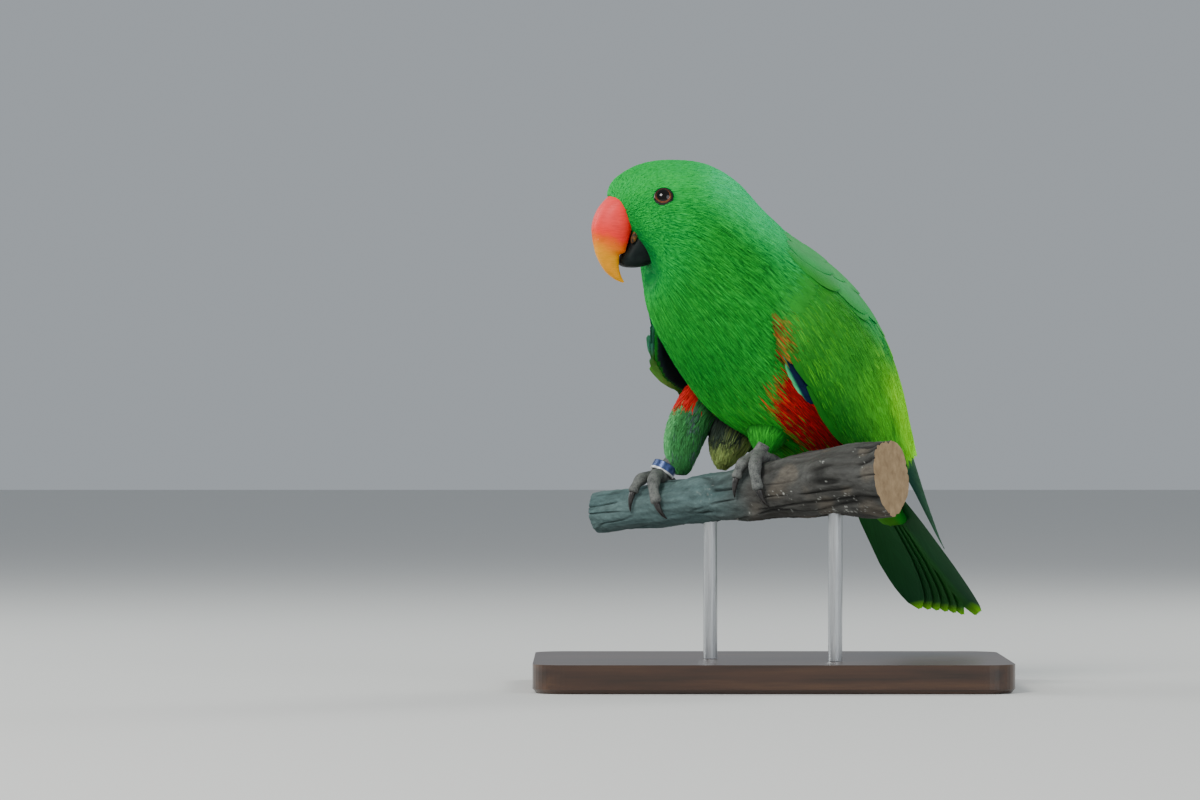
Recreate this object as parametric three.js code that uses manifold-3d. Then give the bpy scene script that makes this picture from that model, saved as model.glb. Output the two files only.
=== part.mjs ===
// A male eclectus parrot, life size, standing on a cut length of branch that a plain stand holds.
// Millimetres, +Z up. The viewer looks along +Y, with +X to the right.
// The bird faces left and towards the viewer.
// The origin is the middle of the base's underside.
import * as THREE from "three";
import { mergeVertices } from "three/addons/utils/BufferGeometryUtils.js";
import Module from "manifold-3d";

const wasm = await Module();
wasm.setup();

// Clearance between pieces that touch.
const GAP = 0.3;
// Clearance where slanting sides would otherwise come closer.
const WIDE_GAP = 0.5;
const RADIANS = Math.PI / 180;

// The bird's body, from the face to the root of the tail, as rings across it.
// heading is how far the bird is turned there from facing the viewer, lean how far the ring's top tips
// forward, half its half width, up and down its reach towards the back and towards the breast.
const BODY = [
  { at: [-73.5, -38, 231], heading: 74, lean: 32, half: 9, up: 16, down: 16 },
  { at: [-70.5, -37.2, 231.5], heading: 74, lean: 24, half: 15, up: 21.5, down: 21.5 },
  { at: [-66, -36, 231.7], heading: 74, lean: 14, half: 20.5, up: 25.8, down: 26 },
  { at: [-61, -34.5, 231.3], heading: 74, lean: 3, half: 25, up: 29.5, down: 29.5 },
  { at: [-55, -32.5, 229.7], heading: 73, lean: -10, half: 28, up: 33, down: 33 },
  { at: [-47, -30, 226.7], heading: 71, lean: -23, half: 30, up: 36.6, down: 36 },
  { at: [-39.7, -27, 220.2], heading: 67, lean: -34, half: 32.5, up: 39, down: 37.5 },
  { at: [-32, -23.5, 210.5], heading: 61, lean: -42, half: 35.5, up: 39.5, down: 39.5 },
  { at: [-23, -19, 199], heading: 56, lean: -46, half: 39, up: 42, down: 42 },
  { at: [-10, -8.8, 181.6], heading: 53, lean: -46, half: 43, up: 44, down: 43.5 },
  { at: [3, 1.4, 164.2], heading: 52, lean: -46, half: 45, up: 45, down: 42 },
  { at: [17, 12.4, 145.5], heading: 52, lean: -46, half: 43, up: 41, down: 34.5 },
  { at: [31, 23.4, 126.8], heading: 52, lean: -46, half: 34, up: 32, down: 25 },
  { at: [43.5, 33.2, 110], heading: 52, lean: -46, half: 23, up: 20, down: 17 },
  { at: [55, 42.2, 94.6], heading: 52, lean: -46, half: 15, up: 11, down: 10 },
  { at: [65, 50, 81.2], heading: 52, lean: -46, half: 12, up: 6, down: 6 },
];
const BODY_SIDES = 20;
const BODY_STEPS = 26;
// Where the body is parted, as places along BODY.
const NECK_CUT = 6.6;
const TORSO_CUT = 8.3;
const TAIL_CUT = 12.7;

// The surface that a folded wing lies on: a tube along the bird's straight rear axis, one ring each WING_STEP.
const AXIS_START = [-23, -19, 199];
const AXIS = [0.542, 0.425, -0.725];
const REAR_HEADING = 52;
const REAR_LEAN = -46;
const WING_STEP = 24;
const WING_SIZES = [
  [39, 42],
  [45, 47],
  [48.5, 50],
  [48, 48],
  [43, 42],
  [35, 33],
  [26.5, 24],
  [19, 16.5],
  [13, 11.5],
];

// How far a wing's lower edge is held off the body, at each WING_STEP, and how far its wrist reaches
// round the breast.
const HELD = {
  left: { off: [0, 0, 1, 1, 0.5, 0, 0, 0, 0], wrist: 0 },
  right: { off: [9, 10, 7, 3, 1.5, 0.5, 0, 0, 0], wrist: 22 },
};
const WRIST_END = 44;

// A folded wing's feathers, in tiers. Each tier runs from its first feather, on the wing's lower edge, to its
// last, by the back. s is the distance along the axis and a the angle from the back.
const TIERS = [
  {
    name: "primaries", count: 4, half: 9, lift: [-0.3, 0.2],
    s0: [66, 76], s1: [190, 150], a0: [110, 92], a1: [44, 66],
  },
  {
    name: "secondaries", count: 5, half: 12, lift: [0.1, 1],
    s0: [60, 60], s1: [116, 138], a0: [111, 40], a1: [104, 28],
  },
  {
    name: "greater coverts", count: 5, half: 12.5, lift: [0.6, 1.9],
    s0: [40, 38], s1: [84, 88], a0: [109, 44], a1: [117, 40],
  },
  {
    name: "median coverts", count: 4, half: 13, lift: [1.2, 2.6],
    s0: [20, 18], s1: [58, 62], a0: [96, 48], a1: [113, 46],
  },
  {
    name: "lesser coverts", count: 2, half: 11, lift: [0.4, 1.8],
    s0: [2, 2], s1: [34, 34], a0: [88, 70], a1: [106, 80],
  },
  {
    name: "primary coverts", count: 1, half: 7, lift: [0, 1],
    s0: [46, 46], s1: [92, 92], a0: [114, 114], a1: [118, 118],
  },
  {
    name: "scapulars", count: 3, half: 13, lift: [0.8, 3.4],
    s0: [8, 16], s1: [58, 100], a0: [50, 32], a1: [46, 24],
  },
];
const VANE_THICK = 0.9;
// Half widths of a vane from its root to its tip, as shares of the widest.
const VANE_OUTLINE = [
  [0, 0.6],
  [0.5, 1],
  [0.86, 0.8],
  [1, 0.25],
];
// The wing's solid middle, from the back to its lower edge.
const CORE = { back: 34, low: -4, across: 4, rim: 0.6 };
// At each distance along the axis: the angle of the middle's lower edge, and how high it stands.
const CORE_EDGE = [
  { s: 4, a: 86, high: 1.2 },
  { s: 20, a: 101, high: 2.2 },
  { s: 38, a: 113, high: 1.6 },
  { s: 62, a: 117, high: 0.4 },
  { s: 88, a: 110, high: 0.2 },
  { s: 114, a: 96, high: 0.2 },
];

// The tail's feathers: six on each side, the middle pair on top.
const TAIL = { pairs: 6, root: 118, tip: 232, shorter: 2.2, half: 10.5, spread: [1.2, 2.5], drop: 0.85, top: 3 };
const TAIL_COVERTS = { count: 3, root: 104, tip: 152, half: 11, turn: 24, up: 9.5, down: -8.5 };

// The bill, in the plane that halves the head: forward and up from the top of its base. ridge is the outer
// line, edge the inner one, and half the half width between them.
const BILL_AT = [-80.5, -40, 243.5];
const BILL_HEADING = 74;
const UPPER_BILL = [
  { ridge: [-5, 3], edge: [-17, -10], half: 8.8 },
  { ridge: [0, 0.2], edge: [-12.3, -12], half: 9.8 },
  { ridge: [5.6, -6.2], edge: [-11, -16], half: 9.6 },
  { ridge: [8.5, -13.9], edge: [-9.6, -21], half: 8.8 },
  { ridge: [8.3, -20.5], edge: [-8.2, -25.2], half: 7.8 },
  { ridge: [7.5, -25], edge: [-7.5, -27.6], half: 7 },
  { ridge: [6.6, -28.6], edge: [-4.9, -28.9], half: 5.9 },
  { ridge: [4.6, -33], edge: [-4.6, -32.4], half: 4.6 },
  { ridge: [1.6, -37.4], edge: [-5, -36.2], half: 3.2 },
  { ridge: [-2.8, -40.9], edge: [-6.2, -39.6], half: 1.8 },
  { ridge: [-7, -42.6], edge: [-7.7, -42], half: 0.5 },
];
const LOWER_BILL = [
  { ridge: [-22, -16], edge: [-25, -31], half: 8 },
  { ridge: [-13, -15.5], edge: [-20, -33.6], half: 8.6 },
  { ridge: [-10, -20.6], edge: [-14.3, -35], half: 8 },
  { ridge: [-8, -25.6], edge: [-9.4, -35], half: 7 },
  { ridge: [-6, -29.2], edge: [-6.6, -34.3], half: 5.2 },
  { ridge: [-5.4, -30.8], edge: [-5.4, -33], half: 3.4 },
];
const BILL_SIDES = 12;
const BILL_STEPS = 12;
const LOWER_STEPS = 8;

// An eye, at a place along the body and an angle from its back.
const EYE = { t: 3.15, angle: 66, radius: 6, sunk: 4.3, lid: 4.7, lidThick: 0.7 };
const NOSTRIL = { along: -1.6, up: 1.6, side: 4.4, radius: 1.2 };

// The branch: its middle line and radius, from its left end to its right one.
const PERCH = [
  { at: [-86, 19, 86], radius: 10 },
  { at: [-56, 2, 90], radius: 11.5 },
  { at: [-30, -11, 94.5], radius: 12.5 },
  { at: [-5, -24, 97], radius: 14 },
  { at: [26, -40, 102], radius: 17 },
  { at: [58, -57, 105.5], radius: 19.5 },
];
const PERCH_SIDES = 14;
const PERCH_STEPS = 18;
// Bark swellings: share of the radius, turns around the branch and turns along it.
const BARK = [
  [0.035, 3, 2.3],
  [0.025, 5, -4.1],
  [0.03, 2, 7.3],
];
const KNOTS = [
  { along: 2.35, around: 115, swell: 0.16, wide: 0.35 },
  { along: 4.2, around: 75, swell: 0.14, wide: 0.3 },
  { along: 0.5, around: -60, swell: 0.15, wide: 0.3 },
];

// The feathered legs, from inside the body to the ankle.
const LEGS = {
  right: [
    { at: [-21, 19, 153], radius: 13 },
    { at: [-33, 16.5, 141.5], radius: 12 },
    { at: [-41, 12, 129], radius: 10.5 },
    { at: [-44, 8.5, 118], radius: 9 },
    { at: [-44, 7, 109], radius: 5.5 },
  ],
  left: [
    { at: [10, -5, 150], radius: 19 },
    { at: [4.5, -7.5, 140], radius: 17.5 },
    { at: [0, -11, 131], radius: 14.5 },
    { at: [-2, -15.5, 124], radius: 9.5 },
    { at: [-3, -19.5, 119], radius: 5.5 },
  ],
};
// The soft underparts that hang behind the right leg.
const FLUFF = [
  { at: [-11, 11, 142], radius: 12.5 },
  { at: [-16, 12.5, 131], radius: 12.5 },
  { at: [-20.5, 13, 121], radius: 10.5 },
  { at: [-23, 12.5, 113], radius: 6.5 },
];
const LEG_SIDES = 12;
const LEG_STEPS = 7;

// Each foot: its place along PERCH and around it, and its ankle.
const FEET = {
  right: { along: 1, turn: -14, ankle: [-46.5, 8, 116] },
  left: { along: 3, turn: 0, ankle: [-3.5, -22.5, 121] },
};
const TARSUS_RADIUS = 3.6;
// The lower leg's thickness from the ankle to the sole, as shares of its radius.
const SHANK = [0.92, 0.9, 1, 1.3];
const SHANK_SIDES = 8;
const SOLE = 5;
// Two toes point forward and two back: side and out say which way each goes, spread how far along the branch.
const TOES = [
  { name: "front_inner", side: 1, out: -1, length: 17, spread: 5.5, radius: 2.9 },
  { name: "front_outer", side: 1, out: 1, length: 25, spread: 6.5, radius: 3.1 },
  { name: "back_inner", side: -1, out: -1, length: 13, spread: 5, radius: 2.7 },
  { name: "back_outer", side: -1, out: 1, length: 23, spread: 6.5, radius: 3 },
];
const TOE_SIDES = 6;
const TOE_STEPS = 5;
const CLAW = { start: 0.8, length: 10, radius: 1.75, steps: 4 };

// The ring on the right leg: lean is how far its axis turns from the leg's towards the upright direction.
const RING = { inner: 5.2, outer: 6.3, tall: 5, place: 0.7, lean: 0.5, upright: [0.3, 0.35, 0.9], sides: 16 };

// The stand.
const BASE = { long: 236, wide: 176, tall: 14, corner: 16, bevel: 2 };
const RODS = { left: 2, right: 4.15, radius: 3.5, sunk: 6, sides: 16 };

const COLOURS = {
  green: 0x2f9a35,
  wing: 0x3f8f2a,
  coral: 0xe5503a,
  black: 0x1d1f24,
  eye: 0x1a0f0a,
  foot: 0x6c6a6c,
  claw: 0x2b2a2c,
  ring: 0x27407f,
  bark: 0x7b6f62,
  metal: 0xb9bcc0,
  base: 0x3a2a20,
};

// A piece's material.
function finish(colour, roughness = 0.7, metalness = 0) {
  return new THREE.MeshStandardMaterial({ color: colour, roughness, metalness });
}

// A number between the two ends of a range.
function between(range, share) {
  return range[0] + (range[1] - range[0]) * share;
}

// Turns a closed geometry into a solid that can be cut and joined.
function solidOf(geometry) {
  const bare = geometry.clone();
  for (const name of ["normal", "uv"]) bare.deleteAttribute(name);
  const merged = mergeVertices(bare, 1e-4);
  const corners = new Uint32Array(merged.index.array);
  const places = new Float32Array(merged.attributes.position.array);
  const solid = new wasm.Manifold(new wasm.Mesh({ numProp: 3, vertProperties: places, triVerts: corners }));
  if (solid.volume() > 0) return solid;
  for (let i = 0; i < corners.length; i += 3) {
    [corners[i + 1], corners[i + 2]] = [corners[i + 2], corners[i + 1]];
  }
  return new wasm.Manifold(new wasm.Mesh({ numProp: 3, vertProperties: places, triVerts: corners }));
}

// Joins solids.
function join(solids) {
  return solids.reduce((sum, next) => sum.add(next));
}

// The largest closed body of a solid.
function largest(solid) {
  return solid.decompose().sort((a, b) => b.volume() - a.volume())[0];
}

// A named piece of the model.
function piece(name, solid, material) {
  const mesh = largest(solid).getMesh();
  const geometry = new THREE.BufferGeometry();
  const places = new Float32Array(mesh.numVert * 3);
  for (let i = 0; i < mesh.numVert; i += 1) {
    for (let k = 0; k < 3; k += 1) places[3 * i + k] = mesh.vertProperties[mesh.numProp * i + k];
  }
  geometry.setAttribute("position", new THREE.BufferAttribute(places, 3));
  geometry.setIndex(Array.from(mesh.triVerts));
  geometry.computeVertexNormals();
  const made = new THREE.Mesh(geometry, material);
  made.name = name;
  return made;
}

// A closed skin over rings of equally many points, with a flat fan at each end.
function loft(rings) {
  const sides = rings[0].length;
  const places = rings.flat();
  const corners = [];
  for (let i = 0; i + 1 < rings.length; i += 1) {
    for (let j = 0; j < sides; j += 1) {
      const a = i * sides + j;
      const b = i * sides + ((j + 1) % sides);
      corners.push(a, b, b + sides, a, b + sides, a + sides);
    }
  }
  const lastRing = (rings.length - 1) * sides;
  for (const first of [0, lastRing]) {
    const middle = new THREE.Vector3();
    for (let j = 0; j < sides; j += 1) middle.addScaledVector(places[first + j], 1 / sides);
    places.push(middle);
    for (let j = 0; j < sides; j += 1) {
      const a = first + j;
      const b = first + ((j + 1) % sides);
      if (first === 0) corners.push(places.length - 1, b, a);
      else corners.push(places.length - 1, a, b);
    }
  }
  const geometry = new THREE.BufferGeometry().setFromPoints(places);
  geometry.setIndex(corners);
  return solidOf(geometry);
}

// A closed curved sheet between two grids of points, with both faces split into like triangles.
function sheet(top, under) {
  const across = top[0].length;
  const places = [...top.flat(), ...under.flat()];
  const size = top.length * across;
  const corners = [];
  for (let i = 0; i + 1 < top.length; i += 1) {
    for (let j = 0; j + 1 < across; j += 1) {
      const a = i * across + j;
      const [b, c, d] = [a + 1, a + across + 1, a + across];
      corners.push(a, b, c, a, c, d, size + a, size + c, size + b, size + a, size + d, size + c);
    }
  }
  const rim = [];
  for (let j = 0; j + 1 < across; j += 1) rim.push(j);
  for (let i = 0; i + 1 < top.length; i += 1) rim.push(i * across + across - 1);
  for (let j = across - 1; j > 0; j -= 1) rim.push((top.length - 1) * across + j);
  for (let i = top.length - 1; i > 0; i -= 1) rim.push(i * across);
  rim.forEach((a, k) => {
    const b = rim[(k + 1) % rim.length];
    corners.push(a, size + a, size + b, a, size + b, b);
  });
  const geometry = new THREE.BufferGeometry().setFromPoints(places);
  geometry.setIndex(corners);
  return solidOf(geometry);
}

// A value between four neighbours, smooth through all of them.
function smooth(a, b, c, d, t) {
  const along = 2 * b + (c - a) * t + (2 * a - 5 * b + 4 * c - d) * t * t;
  return 0.5 * (along + (3 * b - a - 3 * c + d) * t * t * t);
}

// The station of a table at place t, which may lie between two rows.
function station(table, t) {
  const last = table.length - 1;
  const i = Math.min(Math.max(Math.floor(t), 0), last - 1);
  const rows = [i - 1, i, i + 1, i + 2].map((k) => table[Math.min(Math.max(k, 0), last)]);
  const made = {};
  for (const key of Object.keys(table[0])) {
    const values = rows.map((row) => row[key]);
    const mixed = (list) => smooth(...list, t - i);
    if (Array.isArray(values[0])) made[key] = values[0].map((_, k) => mixed(values.map((v) => v[k])));
    else made[key] = mixed(values);
  }
  return made;
}

// The forward, left and back directions of a bird that is turned by heading and leaned by lean.
function directions(heading, lean) {
  const turn = heading * RADIANS;
  const tip = lean * RADIANS;
  const ahead = new THREE.Vector3(-Math.sin(turn), -Math.cos(turn), 0);
  const up = new THREE.Vector3(0, 0, 1);
  const left = new THREE.Vector3(Math.cos(turn), -Math.sin(turn), 0);
  const back = ahead.clone().multiplyScalar(Math.sin(tip)).addScaledVector(up, Math.cos(tip));
  const forward = ahead.clone().multiplyScalar(Math.cos(tip)).addScaledVector(up, -Math.sin(tip));
  return { forward, left, back };
}

// A point on the body at place t: angle is 0 along the back and 90 degrees on the left side.
function bodyPoint(t, angle, out = 0) {
  const here = station(BODY, t);
  const { left, back } = directions(here.heading, here.lean);
  const turn = angle * RADIANS;
  const reach = Math.cos(turn) > 0 ? here.up : here.down;
  return new THREE.Vector3(...here.at)
    .addScaledVector(left, Math.sin(turn) * (here.half + out))
    .addScaledVector(back, Math.cos(turn) * (reach + out));
}

// The whole body, made larger by grow on every side.
function bodySolid(grow = 0) {
  const rings = [];
  for (let i = 0; i <= BODY_STEPS; i += 1) {
    const t = (i / BODY_STEPS) * (BODY.length - 1);
    const ring = [];
    for (let j = 0; j < BODY_SIDES; j += 1) ring.push(bodyPoint(t, (360 * j) / BODY_SIDES, grow));
    rings.push(ring);
  }
  return loft(rings);
}

// A thin cut across the body at place t.
function cutAt(t) {
  const here = station(BODY, t);
  const { forward, left, back } = directions(here.heading, here.lean);
  const slab = new THREE.BoxGeometry(GAP, 400, 400);
  slab.applyMatrix4(new THREE.Matrix4().makeBasis(forward, left, back).setPosition(...here.at));
  return solidOf(slab);
}

const rear = directions(REAR_HEADING, REAR_LEAN);

// A point of the bird's rear: s along its axis, side to its left and high towards its back.
function rearPoint(s, side, high) {
  return new THREE.Vector3(...AXIS_START)
    .addScaledVector(new THREE.Vector3(...AXIS), s)
    .addScaledVector(rear.left, side)
    .addScaledVector(rear.back, high);
}

// The half width and the rise of the surface that the folded wings lie on.
function wingSize(s) {
  return station(WING_SIZES.map(([half, up]) => ({ half, up })), s / WING_STEP);
}

// A point of a folded wing. hand is 1 for the left wing and -1 for the right one.
function wingPoint(hand, s, angle, out) {
  const { half, up } = wingSize(s);
  const held = hand > 0 ? HELD.left : HELD.right;
  const low = THREE.MathUtils.clamp((angle - 55) / 55, 0, 1.2);
  const off = station(held.off.map((value) => ({ value })), s / WING_STEP).value * low * low;
  const round = held.wrist * low * Math.max(0, 1 - Math.max(s, 0) / WRIST_END);
  const turn = (angle + round) * RADIANS;
  const reach = out + off;
  return rearPoint(s, hand * Math.sin(turn) * (half + reach), Math.cos(turn) * (up + reach));
}

// A vane whose shape is given by place(share along, millimetres across, millimetres above).
function vane(place, half, roll = 0) {
  const top = [];
  const under = [];
  for (const [along, wide] of VANE_OUTLINE) {
    const rows = [[], []];
    for (const across of [-1, 0, 1]) {
      const reach = across * half * wide;
      const crown = across === 0 ? 0.25 : 0;
      const tilt = roll * across;
      rows[0].push(place(along, reach, tilt + crown + VANE_THICK / 2));
      rows[1].push(place(along, reach, tilt + crown - VANE_THICK / 2));
    }
    top.push(rows[0]);
    under.push(rows[1]);
  }
  return sheet(top, under);
}

// One feather of a tier.
function wingVane(hand, tier, share) {
  const [s0, s1] = [between(tier.s0, share), between(tier.s1, share)];
  const [a0, a1] = [between(tier.a0, share), between(tier.a1, share)];
  const place = (along, across, above) => {
    const s = s0 + (s1 - s0) * along;
    const { half, up } = wingSize(s);
    const angle = a0 + (a1 - a0) * along - across / (((half + up) / 2) * RADIANS);
    return wingPoint(hand, s, angle, between(tier.lift, along) + above);
  };
  return vane(place, tier.half, 0.35);
}

// The wing's solid middle.
function wingCore(hand) {
  const top = [];
  const under = [];
  CORE_EDGE.forEach(({ s, a, high }, i) => {
    const rows = [[], []];
    for (let j = 0; j <= CORE.across; j += 1) {
      const angle = between([CORE.back, a], j / CORE.across);
      const rim = j === 0 || j === CORE.across || i === CORE_EDGE.length - 1 ? CORE.rim : 0;
      rows[0].push(wingPoint(hand, s, angle, high - rim));
      rows[1].push(wingPoint(hand, s, angle, CORE.low));
    }
    top.push(rows[0]);
    under.push(rows[1]);
  });
  return sheet(top, under);
}

// A folded wing, kept clear of the body.
function wingSolid(hand) {
  const pieces = [wingCore(hand)];
  for (const tier of TIERS) {
    const last = Math.max(tier.count - 1, 1);
    for (let i = 0; i < tier.count; i += 1) pieces.push(wingVane(hand, tier, i / last));
  }
  return join(pieces);
}

// The tail's feathers and the coverts over and under their roots.
function tailVanes() {
  const pieces = [];
  for (let i = 0; i < TAIL.pairs; i += 1) {
    for (const hand of [1, -1]) {
      const tip = TAIL.tip - TAIL.shorter * i;
      const place = (along, across, above) => {
        const spread = (TAIL.spread[0] + along * TAIL.spread[1]) * i;
        const side = hand * (spread + 2 + along * 3) + across;
        const high = TAIL.top - TAIL.drop * i * along - 0.006 * side * side;
        return rearPoint(TAIL.root + (tip - TAIL.root) * along, side, high + above);
      };
      pieces.push(vane(place, TAIL.half));
    }
  }
  for (const [high, sign] of [[TAIL_COVERTS.up, 1], [TAIL_COVERTS.down, -1]]) {
    for (let i = 0; i < TAIL_COVERTS.count; i += 1) {
      const share = i / (TAIL_COVERTS.count - 1) - 0.5;
      const place = (along, across, above) => {
        const turn = 2 * share * TAIL_COVERTS.turn * RADIANS;
        const tall = high + sign * (2.5 - 9 * along * (sign > 0 ? 1 : 0.7));
        const side = Math.sin(turn) * 16 + across;
        const fall = sign * (1 - Math.cos(turn)) * 14 + sign * 0.004 * side * side;
        return rearPoint(between([TAIL_COVERTS.root, TAIL_COVERTS.tip], along), side, tall - fall + above);
      };
      pieces.push(vane(place, TAIL_COVERTS.half));
    }
  }
  return pieces;
}

const headWays = directions(BILL_HEADING, 0);

// A point in the head's own frame: forward, up, and to the left.
function headPoint(forward, up, side) {
  return new THREE.Vector3(...BILL_AT)
    .addScaledVector(headWays.forward, forward)
    .addScaledVector(headWays.back, up)
    .addScaledVector(headWays.left, side);
}

// Half of the bill, from its table of sections. The sides are full towards the edge.
function billSolid(table, steps, grow = 0) {
  const rings = [];
  for (let i = 0; i <= steps; i += 1) {
    const { ridge, edge, half } = station(table, (i / steps) * (table.length - 1));
    const long = Math.hypot(ridge[0] - edge[0], ridge[1] - edge[1]) / 2;
    const middle = [(ridge[0] + edge[0]) / 2, (ridge[1] + edge[1]) / 2];
    const way = [(ridge[0] - edge[0]) / (2 * long), (ridge[1] - edge[1]) / (2 * long)];
    const ring = [];
    for (let j = 0; j < BILL_SIDES; j += 1) {
      const turn = (2 * Math.PI * j) / BILL_SIDES;
      const full = Math.cos(turn) < 0 ? 0.6 : 0.9;
      const side = Math.sign(Math.sin(turn)) * Math.abs(Math.sin(turn)) ** full * (half + grow);
      const along = Math.cos(turn) * (long + grow);
      ring.push(headPoint(middle[0] + way[0] * along, middle[1] + way[1] * along, side));
    }
    rings.push(ring);
  }
  if (grow > 0) {
    const shift = rings[0][0].clone().sub(rings[1][0]).normalize().multiplyScalar(grow);
    rings.unshift(rings[0].map((p) => p.clone().add(shift)));
  }
  return loft(rings);
}

// Where an eye sits: its middle and the way it looks.
function eyePlace(hand) {
  const spot = bodyPoint(EYE.t, hand * EYE.angle);
  const along = bodyPoint(EYE.t + 0.2, hand * EYE.angle).sub(bodyPoint(EYE.t - 0.2, hand * EYE.angle));
  const around = bodyPoint(EYE.t, hand * EYE.angle + 5).sub(bodyPoint(EYE.t, hand * EYE.angle - 5));
  const look = new THREE.Vector3().crossVectors(along, around).normalize();
  if (look.dot(spot.clone().sub(new THREE.Vector3(...station(BODY, EYE.t).at))) < 0) look.negate();
  return { middle: spot.clone().addScaledVector(look, -EYE.sunk), look, spot };
}

// A ball in the eye's place.
function eyeBall(hand, radius) {
  const { middle } = eyePlace(hand);
  const ball = new THREE.SphereGeometry(radius, 12, 8);
  return solidOf(ball.applyMatrix4(new THREE.Matrix4().setPosition(middle)));
}

// The lids, a raised rim around the eye.
function eyeLid(hand) {
  const { look, spot } = eyePlace(hand);
  const rim = new THREE.TorusGeometry(EYE.lid, EYE.lidThick, 4, 12);
  const turn = new THREE.Quaternion().setFromUnitVectors(new THREE.Vector3(0, 0, 1), look);
  rim.applyQuaternion(turn);
  return solidOf(rim.applyMatrix4(new THREE.Matrix4().setPosition(spot)));
}

// The head with its eye sockets, lids, nostrils and the seat of the bill.
function headSolid(body) {
  const pits = [1, -1].map((hand) => {
    const pit = new THREE.SphereGeometry(NOSTRIL.radius, 6, 5);
    const at = headPoint(NOSTRIL.along, NOSTRIL.up, hand * NOSTRIL.side);
    return solidOf(pit.applyMatrix4(new THREE.Matrix4().setPosition(at)));
  });
  const raised = join([body, eyeLid(1), eyeLid(-1)]);
  const bills = [billSolid(UPPER_BILL, BILL_STEPS, WIDE_GAP), billSolid(LOWER_BILL, LOWER_STEPS, WIDE_GAP)];
  const hollows = join([eyeBall(1, EYE.radius + GAP), eyeBall(-1, EYE.radius + GAP), ...bills, ...pits]);
  return raised.subtract(hollows);
}

// The branch's directions at a place along it: along, towards the viewer, and up.
function perchFrame(t) {
  const { at, radius } = station(PERCH, t);
  const ahead = new THREE.Vector3(...station(PERCH, Math.min(t + 0.1, PERCH.length - 1)).at);
  const behind = new THREE.Vector3(...station(PERCH, Math.max(t - 0.1, 0)).at);
  const along = ahead.sub(behind).normalize();
  const front = new THREE.Vector3(along.y, -along.x, 0).normalize();
  const up = new THREE.Vector3().crossVectors(along, front).normalize();
  if (up.z < 0) up.negate();
  return { at: new THREE.Vector3(...at), radius, along, front, up };
}

// A point around the branch: turn is 0 on top and grows towards the viewer, out is the distance outwards.
function perchPoint(t, turn, out) {
  const { at, radius, front, up } = perchFrame(t);
  const angle = turn * RADIANS;
  return at
    .addScaledVector(up, Math.cos(angle) * (radius + out))
    .addScaledVector(front, Math.sin(angle) * (radius + out));
}

// How far the bark stands out from the branch's plain radius.
function barkSwell(t, turn) {
  const { radius } = station(PERCH, t);
  let share = 0;
  for (const [size, around, along] of BARK) share += size * Math.sin(around * turn * RADIANS + along * t);
  for (const knot of KNOTS) {
    const round = Math.sin(((turn - knot.around) / 2) * RADIANS) * 3.2;
    const away = Math.hypot((t - knot.along) / knot.wide, round);
    share += knot.swell * Math.exp(-away * away);
  }
  return share * radius;
}

// The branch, made larger by grow.
function perchSolid(grow = 0) {
  const rings = [];
  for (let i = 0; i <= PERCH_STEPS; i += 1) {
    const t = (i / PERCH_STEPS) * (PERCH.length - 1);
    const ring = [];
    for (let j = 0; j < PERCH_SIDES; j += 1) {
      const turn = (360 * j) / PERCH_SIDES;
      ring.push(perchPoint(t, turn, barkSwell(t, turn) + grow));
    }
    rings.push(ring);
  }
  return loft(rings);
}

// A round tube through points with a radius at each, made larger by grow.
function tube(points, radii, sides, grow = 0) {
  const last = points.length - 1;
  const rings = points.map((p, i) => {
    const ahead = points[Math.min(i + 1, last)];
    const behind = points[Math.max(i - 1, 0)];
    const way = ahead.clone().sub(behind).normalize();
    const side = new THREE.Vector3().crossVectors(way, new THREE.Vector3(0.31, 0.9, 0.21)).normalize();
    const other = new THREE.Vector3().crossVectors(way, side);
    const middle = p.clone().addScaledVector(way, (i === last ? grow : 0) - (i === 0 ? grow : 0));
    const ring = [];
    for (let j = 0; j < sides; j += 1) {
      const turn = (2 * Math.PI * j) / sides;
      const spot = middle.clone().addScaledVector(side, Math.cos(turn) * (radii[i] + grow));
      ring.push(spot.addScaledVector(other, Math.sin(turn) * (radii[i] + grow)));
    }
    return ring;
  });
  return loft(rings);
}

// A feathered limb, from its table of places and radii, made larger by grow.
function limbSolid(table, grow = 0) {
  const points = [];
  const radii = [];
  for (let i = 0; i <= LEG_STEPS; i += 1) {
    const { at, radius } = station(table, (i / LEG_STEPS) * (table.length - 1));
    points.push(new THREE.Vector3(...at));
    radii.push(radius);
  }
  return tube(points, radii, LEG_SIDES, grow);
}

// The middle line of a toe and its claw, from the sole to the claw's tip: reach is in millimetres.
function toePoint(foot, toe, reach) {
  const { radius } = station(PERCH, foot.along);
  const spacing = 30;
  const total = toe.length + CLAW.length;
  const lift = toe.radius + GAP;
  const near = reach > toe.length ? (reach - toe.length) / CLAW.length : 0;
  const arch = 1.6 * Math.sin(Math.PI * Math.min(reach / toe.length, 1));
  const turn = foot.turn + toe.side * (6 + reach / (radius + lift) / RADIANS);
  const t = foot.along + (toe.out * (2.2 + (toe.spread * reach) / total)) / spacing;
  return perchPoint(t, turn, lift + arch * 0.5 - near * near * (toe.radius - CLAW.radius * 0.3));
}

// A toe, with the swellings of its joints, made larger by grow.
function toeSolid(foot, toe, grow = 0) {
  const points = [];
  const radii = [];
  for (let i = 0; i <= TOE_STEPS; i += 1) {
    const share = i / TOE_STEPS;
    points.push(toePoint(foot, toe, share * toe.length));
    const swell = 1.12 - 0.28 * share + 0.1 * Math.cos(share * 4 * Math.PI);
    radii.push(toe.radius * swell * (i === TOE_STEPS ? 0.72 : 1));
  }
  return tube(points, radii, TOE_SIDES, grow);
}

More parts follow.
